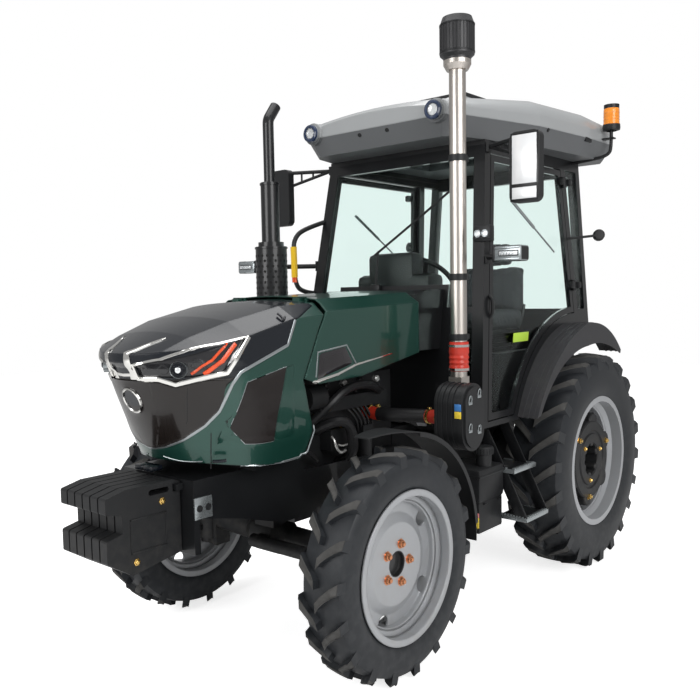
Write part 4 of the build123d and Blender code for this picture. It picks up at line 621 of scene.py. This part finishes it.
for side, hand in hands:
    bolts = bmesh.new()
    plate = [(0.095, -0.004), (0.095, 0.060), (0.101, 0.068), (0.150, 0.068), (0.156, 0.060), (0.170, 0.060),
        (0.176, 0.068), (0.226, 0.068), (0.234, 0.060), (0.234, -0.004)]
    turned(bolts, (side * hub_x, *rear_axle), (side, 0, 0), plate, cast_black, 72)
    for k in range(6):
        way = 0.38 + k * pi / 3
        rim_spot = around(rear_axle, 0.222, way)
        turned(bolts, (side * hub_x, *rim_spot), (side, 0, 0),
            [(0, 0.064), (0.050, 0.064), (0.056, 0.058), (0.058, -0.004)], cast_black, 28)
        turned(bolts, (side * hub_x, *around(rear_axle, 0.098, way)), (side, 0, 0),
            [(0, 0.064), (0.018, 0.064), (0.022, 0.058), (0.022, -0.002)], cast_black, 20)
        if k % 2 == 0:
            turned(bolts, (side * nut_x, *rim_spot), (side, 0, 0), copper_nut, gilt, 6)
            turned(bolts, (side * bolt_x, *around(rear_axle, 0.125, way)), (side, 0, 0), dome_bolt, gilt, 6)
    keep(bolts, "rear_weight_plate_" + hand, "wheel_rear_" + hand)
    nuts = bmesh.new()
    for k in range(5):
        way = k * 2 * pi / 5
        turned(nuts, (side * front_nut_x, *around(front_axle, 0.086, way)), (side, 0, 0), copper_nut, copper, 12)
    keep(nuts, "front_wheel_nuts_" + hand, "wheel_front_" + hand)

# ---- Front weights and nose brackets ----
# Blank inset panels and gilt through bolts on the outer cast plates, and a steel bracket with
# two holes: rounded boxes and turned profiles.
weights = bmesh.new()
for frame_bar in ((-1.835, -1.665, 0.800, 0.806), (-1.835, -1.665, 0.672, 0.678), (-1.835, -1.829, 0.672, 0.806),
        (-1.671, -1.665, 0.672, 0.806)):
    boxes(weights, 0.150, 0.155, *frame_bar, 0.001, cast_black)
boxes(weights, 0.228, 0.238, -1.590, -1.500, 0.762, 0.850, 0.003, satin)
for side in (1, -1):
    for y, z in ((-1.683, 0.849), (-1.811, 0.638)):
        turned(weights, (side * 0.152, y, z), (side, 0, 0), dome_bolt, gilt, 6)
    for y in (-1.567, -1.523):
        turned(weights, (side * 0.238, y, 0.806), (side, 0, 0),
            [(0, 0.001), (0.010, 0.001), (0.011, 0.003), (0.014, 0.003), (0.015, -0.002)], cast_black, 20)
keep(weights, "weight_bolts", "chassis")

# ---- Roof lamps, beacon and buttons ----
# Round lamps with faceted reflectors in dark blue rings, black plugs in the fascia and an
# amber beacon on a black base held by a bent pipe. Turned profiles of clear and black plastic.
blue_ring = finish("lamp_ring", (0.02, 0.035, 0.08), 0.2, coat=0.6, mottle=0.1)
beacon_amber = finish("beacon_amber", (0.85, 0.26, 0.02), 0.18, coat=0.7, mottle=0.25, mottle_size=50)
beacon = (0.752, 1.260)
lamps = bmesh.new()
boxes(lamps, 0.672, 0.700, 1.02, 1.10, 2.500, 2.524, 0.003, moulded_black)
for side in (1, -1):
    spot = (side * 0.41, -0.1435, 2.545)
    turned(lamps, spot, (0, -1, 0), [(0, 0.004), (0.010, 0.001), (0.020, 0.002), (0.031, 0.007)], lens_white, 12)
    turned(lamps, spot, (0, -1, 0), [(0.028, -0.004), (0.030, 0.008), (0.038, 0.011), (0.0475, 0.008),
        (0.048, -0.006)], blue_ring, 32)
    for place, way in (((side * 0.092, -0.099, 2.498), (0, -0.89, -0.46)),
            ((side * 0.658, 0.612, 2.512), (side * 0.89, -0.07, -0.44))):
        turned(lamps, place, way, [(0, 0.005), (0.010, 0.004), (0.012, -0.003)], moulded_black, 20)
dome = [(0.047, 2.612), (0.047, 2.622), (0.0455, 2.630), (0.0455, 2.700), (0.043, 2.718), (0.034, 2.731),
    (0.018, 2.7335), (0, 2.734)]
turned(lamps, (*beacon, 0), up, dome, beacon_amber, 40)
for height in (2.645, 2.665, 2.685):
    turned(lamps, (*beacon, height), up, [(0.045, -0.002), (0.0468, 0), (0.045, 0.002)], beacon_amber, 40)
turned(lamps, (*beacon, 0), up, [(0.030, 2.580), (0.0495, 2.586), (0.0515, 2.600), (0.0495, 2.616), (0.046, 2.619)],
    moulded_black, 40)
tube(lamps, ((*beacon, 2.59), (0.752, 1.262, 2.50), (0.742, 1.262, 2.445), (0.660, 1.245, 2.425),
    (0.52, 1.235, 2.415)), 0.010, moulded_black)
keep(lamps, "roof_lamp_parts", "chassis")

# ---- Intake and exhaust ----
# Brushed stainless intake tube with black clamps, a red rubber boot and a black ribbed bowl on
# top; the exhaust has a black heat shield whose rows of round holes are painted shade: flat dark discs. Turned
# profiles.
overlay(polished, (0.020, 0.020, 0.022), 0.4, 0.0, ((0, 0, 1), (0, 0, 0), "GREATER_THAN", 2.735))
boot_red = finish("boot_red", (0.50, 0.035, 0.02), 0.4, coat=0.2, mottle=0.2, mottle_size=20)
tube_spot, pipe_spot = (0.580, -0.190), (-0.470, -0.420)
stack = bmesh.new()
for height in (2.28, 1.712, 1.420):
    turned(stack, (*tube_spot, height), up, [(0.040, -0.016), (0.0445, -0.016), (0.0455, 0), (0.0445, 0.016),
        (0.040, 0.016)], moulded_black, 40)
    block(stack, (0.560, -0.150, height - 0.014), (0.600, -0.120, height + 0.014), 0.003, moulded_black)
turned(stack, (*tube_spot, 0), up, [(0.040, 1.252), (0.047, 1.255), (0.049, 1.275), (0.045, 1.285), (0.049, 1.296),
    (0.045, 1.308), (0.049, 1.320), (0.045, 1.332), (0.049, 1.344), (0.047, 1.395), (0.040, 1.398)], boot_red, 40)
for height in (1.263, 1.378):
    turned(stack, (*tube_spot, height), up, [(0.047, -0.007), (0.0515, -0.006), (0.0515, 0.006), (0.047, 0.007)],
        chrome, 40)
for k in range(30):
    way = k * pi / 15
    x, y = around(tube_spot, 0.0815, way)
    block(stack, (x - 0.002, y - 0.0025, 2.775), (x + 0.002, y + 0.0025, 2.895), 0.0008, moulded_black,
        Euler((0, 0, way)))
for height in (2.772, 2.898):
    turned(stack, (*tube_spot, height), up, [(0.080, -0.004), (0.0845, -0.003), (0.0845, 0.003), (0.080, 0.004)],
        moulded_black, 40)
keep(stack, "intake_parts", "chassis")
# Flat near-black discs on the heat shield stand in for its holes: painted shade.
hole_shade_paint = finish("painted_hole_shade", (0.004, 0.004, 0.004), 0.7, mottle=0.1)
shield = bmesh.new()
painted_hole_rows, painted_holes_round = 19, 18
for row in range(painted_hole_rows):
    for k in range(painted_holes_round):
        way = (k + 0.5 * (row % 2)) * 2 * pi / painted_holes_round
        turned(shield, (*around(pipe_spot, 0.0862, way), 1.335 + row * 0.029), (cos(way), sin(way), 0),
            [(0, 0.0004), (0.0075, 0.0004)], hole_shade_paint, 8)
for height in (1.310, 1.900, 2.245):
    reach = 0.087 if height < 2 else 0.051
    turned(shield, (*pipe_spot, height), up, [(reach, -0.006), (reach + 0.003, -0.005), (reach + 0.003, 0.005),
        (reach, 0.006)], plate_black, 40)
keep(shield, "exhaust_painted_hole_shade", "chassis")

# ---- Cab lamps, mirrors and fittings ----
# Twin-lens work lamp, ribbed side lamps, mirror glasses, wiper, handrail, dash hood, hinges
# and round rear lamps in black powder-coated steel and moulded plastic; the doors carry their
# hinge leaves, gas struts, handles and a blank plate.
cap_yellow = finish("cap_yellow", (0.80, 0.50, 0.02), 0.35, coat=0.25, mottle=0.1)
mirror_glass = finish("mirror_glass", (0.86, 0.87, 0.88), 0.22, metallic=0.25, mottle=0.04, mottle_size=2)
plate_lime = finish("blank_plate_lime", (0.42, 0.62, 0.06), 0.4, mottle=0.06)
hinges = ((2.281, 0.547, 1.052), (1.667, 0.593, 1.097))
cab = bmesh.new()
boxes(cab, 0.800, 0.9385, -0.2370, -0.163, 1.7765, 1.8475, 0.008, satin)
boxes(cab, 0.786, 0.804, -0.2345, -0.166, 1.774, 1.850, 0.006, moulded_black)
for z in (1.786, 1.838):
    boxes(cab, 0.803, 0.930, -0.2400, -0.230, z - 0.006, z + 0.006, 0.003, satin)
boxes(cab, 0.822, 0.925, -0.2395, -0.230, 1.798, 1.826, 0.004, moulded_black)
boxes(cab, 0.826, 0.921, -0.2415, -0.232, 1.802, 1.822, 0.004, lens_white)
for k in range(5):
    boxes(cab, 0.838 + k * 0.014, 0.842 + k * 0.014, -0.2425, -0.2400, 1.801, 1.823, 0.0008, satin, lean=0.5)
boxes(cab, 0.757, 0.885, 0.0625, 0.0665, 2.085, 2.385, 0.001, mirror_glass)
for z, x, y in hinges:
    boxes(cab, x - 0.012, x + 0.028, y + 0.019, y + 0.058, z - 0.020, z + 0.020, 0.008, moulded_black)
for side in (1, -1):
    for z, x, y in hinges:
        turned(cab, (side * x, y, z), (side * -0.0746, -0.0736, 0.9945),
            [(0, 0.034), (0.015, 0.033), (0.016, -0.033), (0, -0.034)], moulded_black, 20)
    tube(cab, mirrored(side, [(0.555, 1.10, 1.95), (0.64, 1.16, 1.955), (0.700, 1.215, 1.966)]), 0.008, moulded_black)
    spot = (side * 0.700, 1.215, 1.966)
    turned(cab, spot, (side * 0.5, -0.85, 0.1), [(0, 0.014), (0.026, 0.012), (0.034, 0.006), (0.035, -0.018),
        (0, -0.022)], moulded_black, 28)
    turned(cab, spot, (side * -0.5, 0.85, -0.1), [(0, 0.026), (0.028, 0.024), (0.030, 0.018)], amber, 28)
block(cab, (0.757, 0.0155, 2.155), (0.885, 0.0195, 2.388), 0.001, mirror_glass)
block(cab, (0.757, 0.0155, 2.083), (0.885, 0.0195, 2.138), 0.001, mirror_glass)
block(cab, (0.748, 0.0170, 2.071), (0.894, 0.0190, 2.399), 0.001, plate_black)
tube(cab, ((-0.098, 0.030, 1.665), (-0.100, 0.058, 1.86), (-0.098, 0.062, 1.88)), 0.006, moulded_black)
tube(cab, ((-0.115, 0.050, 1.855), (0.16, 0.082, 2.04), (0.425, 0.112, 2.225)), 0.0065, moulded_black, smooth=False)
block(cab, (-0.130, 0.018, 1.645), (-0.066, 0.040, 1.690), 0.006, moulded_black)
tube(cab, ((-0.545, 0.115, 2.075), (-0.600, -0.02, 2.03), (-0.610, -0.085, 1.97), (-0.612, -0.090, 1.90),
    (-0.612, -0.085, 1.70), (-0.600, -0.02, 1.655), (-0.578, 0.045, 1.650)), 0.014, moulded_black)
tube(cab, ((-0.612, -0.090, 1.925), (-0.612, -0.088, 1.850), (-0.612, -0.086, 1.745)), 0.019, cap_yellow,
    smooth=False)
tube(cab, ((-0.612, -0.086, 1.745), (-0.612, -0.085, 1.715)), 0.016, amber, smooth=False)
for x in (0.690, 0.7205, 0.751):
    block(cab, (x - 0.014, -0.2195, 1.8875), (x + 0.014, -0.2125, 1.8935), 0.001, moulded_black)
block(cab, (0.673, -0.2135, 1.874), (0.767, -0.172, 1.950), 0.006, moulded_black)
for x in (0.701, 0.740):
    turned(cab, (x, -0.2115, 1.912), (0, -1, 0), [(0, 0.001), (0.006, 0.004), (0.012, 0.002), (0.0145, 0.004),
        (0.017, 0.004), (0.018, -0.004)], lens_white, 24)
    turned(cab, (x, -0.2125, 1.912), (0, -1, 0), [(0, 0.001), (0.013, 0.003), (0.0145, 0.006), (0.0175, 0.006),
        (0.0185, -0.003)], satin, 24)
    turned(cab, (x, -0.2125, 1.912), (0, -1, 0), [(0, 0.0045), (0.008, 0.004), (0.0125, 0.0035)], lens_white, 24)
block(cab, (-0.215, 0.108, 1.600), (0.100, 0.235, 1.865), 0.030, moulded_black)
block(cab, (-0.300, 0.108, 1.600), (0.210, 0.270, 1.745), 0.035, moulded_black)
keep(cab, "cab_fittings", "chassis")
for side, hand in hands:
    door = bmesh.new()
    for z, x, y in hinges:
        boxes(door, x - 0.004, x + 0.022, y - 0.066, y - 0.020, z - 0.020, z + 0.020, 0.008, moulded_black,
            sides=(side,))
    tube(door, mirrored(side, [(0.542, 0.413, 2.129), (0.550, 0.66, 1.994)]), 0.009, satin, smooth=False)
    tube(door, mirrored(side, [(0.550, 0.66, 1.994), (0.560, 0.90, 1.863)]), 0.005, satin, smooth=False)
    tube(door, mirrored(side, [(0.578, 0.085, 1.500), (0.606, 0.090, 1.510), (0.610, 0.092, 1.560),
        (0.602, 0.095, 1.610), (0.574, 0.098, 1.620)]), 0.009, moulded_black)
    boxes(door, 0.612, 0.615, 0.30, 0.47, 1.365, 1.415, 0.0006, plate_lime, lean=0.075, sides=(side,))
    keep(door, "door_fittings_" + hand, "door_" + hand)

# ---- Engine bay hoses and pipes ----
# Black rubber hoses and cable runs over the block, plated pipes, a yellow filler cap and
# gilt hose clamps: round bars swept along smooth lines, and turned profiles.
hose_black = finish("hose_black", (0.014, 0.014, 0.015), 0.42, mottle=0.2, mottle_size=20, grain=200, relief=0.05)
pipe_white = finish("pipe_plated", (0.70, 0.70, 0.68), 0.25, metallic=0.7, mottle=0.1)
overlay(red_hose, (0.014, 0.014, 0.015), 0.4, 0.0, ((1, 0, 0), (0, 0, 0), "GREATER_THAN", 0.235),
    ((1, 0, 0), (0, 0, 0), "LESS_THAN", 0.485))
bay = bmesh.new()
for side in (1, -1):
    tube(bay, mirrored(side, [(0.150, -0.80, 1.04), (0.225, -0.78, 1.11), (0.250, -0.66, 1.20), (0.250, -0.50, 1.205),
        (0.235, -0.38, 1.16), (0.150, -0.30, 1.13)]), 0.022, hose_black)
    tube(bay, mirrored(side, [(0.150, -0.77, 1.00), (0.240, -0.76, 1.05), (0.268, -0.68, 1.04), (0.270, -0.64, 0.96),
        (0.255, -0.63, 0.86), (0.150, -0.62, 0.82)]), 0.026, hose_black)
    for k in range(5):
        lift = k * 0.030
        tube(bay, mirrored(side, [(0.148, -0.60 + lift, 1.12 + lift * 0.4), (0.205, -0.56 + lift, 1.06),
            (0.195, -0.50 + lift, 0.98), (0.148, -0.46 + lift * 0.5, 0.92 - lift)]), 0.006 + 0.001 * (k % 3),
            hose_black)
    tube(bay, mirrored(side, [(0.150, -0.73, 0.985), (0.225, -0.735, 0.975), (0.240, -0.730, 0.915),
        (0.243, -0.700, 0.885), (0.238, -0.660, 0.895)]), 0.0065, pipe_white)
    tube(bay, mirrored(side, [(0.238, -0.715, 0.93), (0.248, -0.680, 0.915), (0.246, -0.640, 0.930)]), 0.005,
        pipe_white)
    tube(bay, mirrored(side, [(0.170, -1.02, 1.00), (0.215, -0.98, 0.97), (0.215, -0.86, 0.90),
        (0.180, -0.80, 0.86)]), 0.009, hose_black)
turned(bay, (0.196, -0.640, 1.000), (0.3, 0, 1), [(0.010, -0.005), (0.011, 0.012), (0.020, 0.013), (0.022, 0.030),
    (0.018, 0.036), (0, 0.037)], cap_yellow, 12)
for x, y in ((0.552, -0.327), (0.498, -0.328), (0.222, -0.382), (0.180, -0.388)):
    turned(bay, (x, y, 1.038), (1, 0, 0), [(0.034, -0.008), (0.0375, -0.007), (0.0375, 0.007), (0.034, 0.008)], gilt,
        32)
    block(bay, (x - 0.007, y - 0.010, 1.070), (x + 0.007, y + 0.010, 1.084), 0.002, gilt)
for k in range(4):
    turned(bay, (0.146, -0.70 + k * 0.13, 1.205), (1, 0, 0),
        [(0.018, -0.004), (0.018, 0.020), (0.012, 0.026), (0, 0.027)], pipe_white if k % 2 else hose_black, 20)
keep(bay, "engine_bay_parts", "chassis")

# ---- Box plates ----
# Bent wire latches, and blank coloured plates of thin plastic: rounded boxes laid on the air
# box, the tank and the windscreen.
plate_blue = finish("blank_plate_blue", (0.05, 0.18, 0.45), 0.35, mottle=0.06)
plate_yellow = finish("blank_plate_yellow", (0.75, 0.55, 0.05), 0.4, mottle=0.06)
plate_pink = finish("blank_plate_pink", (0.70, 0.22, 0.22), 0.4, mottle=0.06)
plates = bmesh.new()
block(plates, (0.700, -0.4275, 1.092), (0.735, -0.4245, 1.125), 0.0008, plate_blue)
block(plates, (0.700, -0.4275, 1.058), (0.735, -0.4245, 1.090), 0.0008, plate_yellow)
for y, z in ((-0.370, 1.130), (-0.370, 1.000), (-0.290, 1.155), (-0.290, 0.985)):
    tube(plates, ((0.750, y - 0.012, z), (0.7535, y - 0.012, z + 0.030), (0.7535, y + 0.012, z + 0.030),
        (0.750, y + 0.012, z)), 0.0022, satin)
    block(plates, (0.744, y - 0.015, z - 0.012), (0.7535, y + 0.015, z + 0.002), 0.002, satin)
for x in (0.610, 0.650):
    block(plates, (x, -0.1835, 0.478), (x + 0.032, -0.1785, 0.530), 0.0008, plate_yellow)
    block(plates, (x, -0.1835, 0.532), (x + 0.032, -0.1785, 0.552), 0.0008, plate_pink)
block(plates, (0.255, -0.024, 1.362), (0.338, -0.022, 1.410), 0.0006, plate_lime, Euler((-0.158, 0, 0)))
block(plates, (0.255, -0.016, 1.412), (0.338, -0.014, 1.430), 0.0006, plate_blue, Euler((-0.158, 0, 0)))
keep(plates, "box_and_step_parts", "chassis")

# ---- Tank and steps ----
# Two-part moulded tank with a seam flange, straps and a ribbed cap; ladder steps of black plate
# with toothed silver edging round two treads. Rounded boxes and turned profiles.
cap_spot = (0.640, -0.060)
tank = bmesh.new()
block(tank, (0.452, -0.188, 0.600), (0.692, 0.060, 0.768), 0.018, moulded_black)
block(tank, (0.462, -0.180, 0.446), (0.684, 0.052, 0.606), 0.010, moulded_black)
block(tank, (0.448, -0.192, 0.726), (0.696, 0.064, 0.740), 0.006, moulded_black)
for y in (-0.130, 0.010):
    block(tank, (0.140, y - 0.020, 0.640), (0.470, y + 0.020, 0.680), 0.004, plate_black)
    block(tank, (0.444, y - 0.015, 0.590), (0.695, y + 0.015, 0.596), 0.002, plate_black)
turned(tank, (*cap_spot, 0), up, [(0.040, 0.755), (0.040, 0.825), (0.048, 0.828), (0.049, 0.858), (0.044, 0.866),
    (0, 0.866)], moulded_black, 32)
for k in range(20):
    way = k * pi / 10
    x, y = around(cap_spot, 0.049, way)
    block(tank, (x - 0.002, y - 0.003, 0.830), (x + 0.002, y + 0.003, 0.857), 0.0008, moulded_black,
        Euler((0, 0, way)))
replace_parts(keep(tank, "tank", "chassis"), "fuel_tank")
ladder = bmesh.new()
for x0, x1, z in ((0.560, 0.745, 0.724), (0.655, 0.815, 0.484)):
    boxes(ladder, x0, x1, 0.062, 0.290, z - 0.010, z + 0.006, 0.003, plate_black)
    boxes(ladder, x0, x1 + 0.003, 0.057, 0.063, z - 0.010, z + 0.012, 0.002, satin)
    boxes(ladder, x0, x1 + 0.003, 0.289, 0.295, z - 0.010, z + 0.012, 0.002, satin)
    boxes(ladder, x1 - 0.002, x1 + 0.004, 0.057, 0.295, z - 0.010, z + 0.012, 0.002, satin)
    for k in range(11):
        y = 0.066 + k * 0.020
        boxes(ladder, x1 - 0.016, x1 + 0.003, y, y + 0.012, z + 0.006, z + 0.018, 0.002, satin)
        if k < 8:
            x = x0 + 0.014 + k * 0.017
            boxes(ladder, x, x + 0.010, 0.058, 0.072, z + 0.006, z + 0.018, 0.002, satin)
for y in (0.064, 0.286):
    boxes(ladder, 0.640, 0.700, y - 0.004, y + 0.004, 0.455, 0.985, 0.002, plate_black, lean=-0.47)
boxes(ladder, 0.130, 0.620, 0.150, 0.190, 0.720, 0.735, 0.003, plate_black)
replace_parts(keep(ladder, "ladder", "chassis"), "steps")

# ---- Seat ----
# Upholstered driver's seat in dark woven cloth: cushion, backrest and headrest, each a stuffed
# form swelled by cloth simulation, with two sewn channels, over a black bellows base.
seat_cloth = finish("seat_cloth", (0.05, 0.05, 0.055), 0.8, mottle=0.2, grain=500, relief=0.1)


def stuffed(name, low, high, limit):
    """Cushion: a rounded block remeshed, blown up by cloth pressure and held near its shape."""
    solid = bmesh.new()
    block(solid, [a + 0.008 for a in low], [b - 0.008 for b in high], 0.022, seat_cloth)
    mesh = bpy.data.meshes.new(name)
    solid.to_mesh(mesh)
    solid.free()
    pad = bpy.data.objects.new(name, mesh)
    scene.collection.objects.link(pad)
    remesh = pad.modifiers.new("remesh", "REMESH")
    remesh.mode, remesh.voxel_size = "VOXEL", 0.006
    pad.data = bpy.data.meshes.new_from_object(pad.evaluated_get(bpy.context.evaluated_depsgraph_get()))
    pad.modifiers.clear()
    start = [vertex.co.copy() for vertex in pad.data.vertices]
    cloth = pad.modifiers.new("cloth", "CLOTH")
    cloth.settings.quality = 4
    cloth.settings.use_pressure, cloth.settings.uniform_pressure_force = True, 4.0
    cloth.settings.effector_weights.gravity = 0.0
    cloth.collision_settings.use_collision = False
    for number in range(1, 21):
        scene.frame_set(number)
    blown = pad.evaluated_get(bpy.context.evaluated_depsgraph_get()).data
    swelled = [vertex.co.copy() for vertex in blown.vertices]
    pad.modifiers.clear()
    for vertex, old, new in zip(pad.data.vertices, start, swelled):
        step = new - old
        vertex.co = old + step * min(1.0, limit / max(step.length, 1e-6))
    scene.frame_set(1)
    solid = bmesh.new()
    solid.from_mesh(pad.data)
    for vertex in solid.verts:
        vertex.co = Vector([min(max(c, a + 0.001), b - 0.001) for c, a, b in zip(vertex.co, low, high)])
        for channel in (-0.5, 0.5):
            seam = abs(vertex.co.x - (low[0] + high[0]) / 2 - channel * (high[0] - low[0]) / 2)
            if seam < 0.012:
                vertex.co -= vertex.normal * 0.006 * (1 - seam / 0.012)
    bmesh.ops.smooth_vert(solid, verts=solid.verts, factor=0.3, use_axis_x=True, use_axis_y=True, use_axis_z=True)
    solid.to_mesh(pad.data)
    solid.free()
    pad.data.materials.clear()
    pad.data.materials.append(seat_cloth)
    pad.data.shade_smooth()
    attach(pad, "chassis")


stuffed("seat_cushion", (-0.250, 0.680, 1.400), (0.250, 1.150, 1.525), 0.016)
stuffed("seat_backrest", (-0.230, 1.090, 1.500), (0.230, 1.215, 1.800), 0.014)
stuffed("seat_headrest", (-0.140, 1.120, 1.800), (0.140, 1.215, 1.950), 0.010)
stand = bmesh.new()
for k in range(5):
    block(stand, (-0.175 + 0.006 * (k % 2), 0.740 + 0.006 * (k % 2), 1.225 + k * 0.030),
        (0.175 - 0.006 * (k % 2), 1.090 - 0.006 * (k % 2), 1.258 + k * 0.030), 0.008, moulded_black)
block(stand, (-0.180, 0.730, 1.203), (0.180, 1.100, 1.228), 0.005, moulded_black)
block(stand, (-0.215, 0.700, 1.375), (0.215, 1.140, 1.402), 0.006, moulded_black)
block(stand, (-0.200, 1.195, 1.460), (0.200, 1.218, 1.780), 0.008, moulded_black)
for x in (-0.235, 0.222):
    tube(stand, ((x, 1.10, 1.40), (x, 1.15, 1.45), (x, 1.18, 1.55)), 0.010, plate_black)
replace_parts(keep(stand, "seat_frame", "chassis"), "seat")
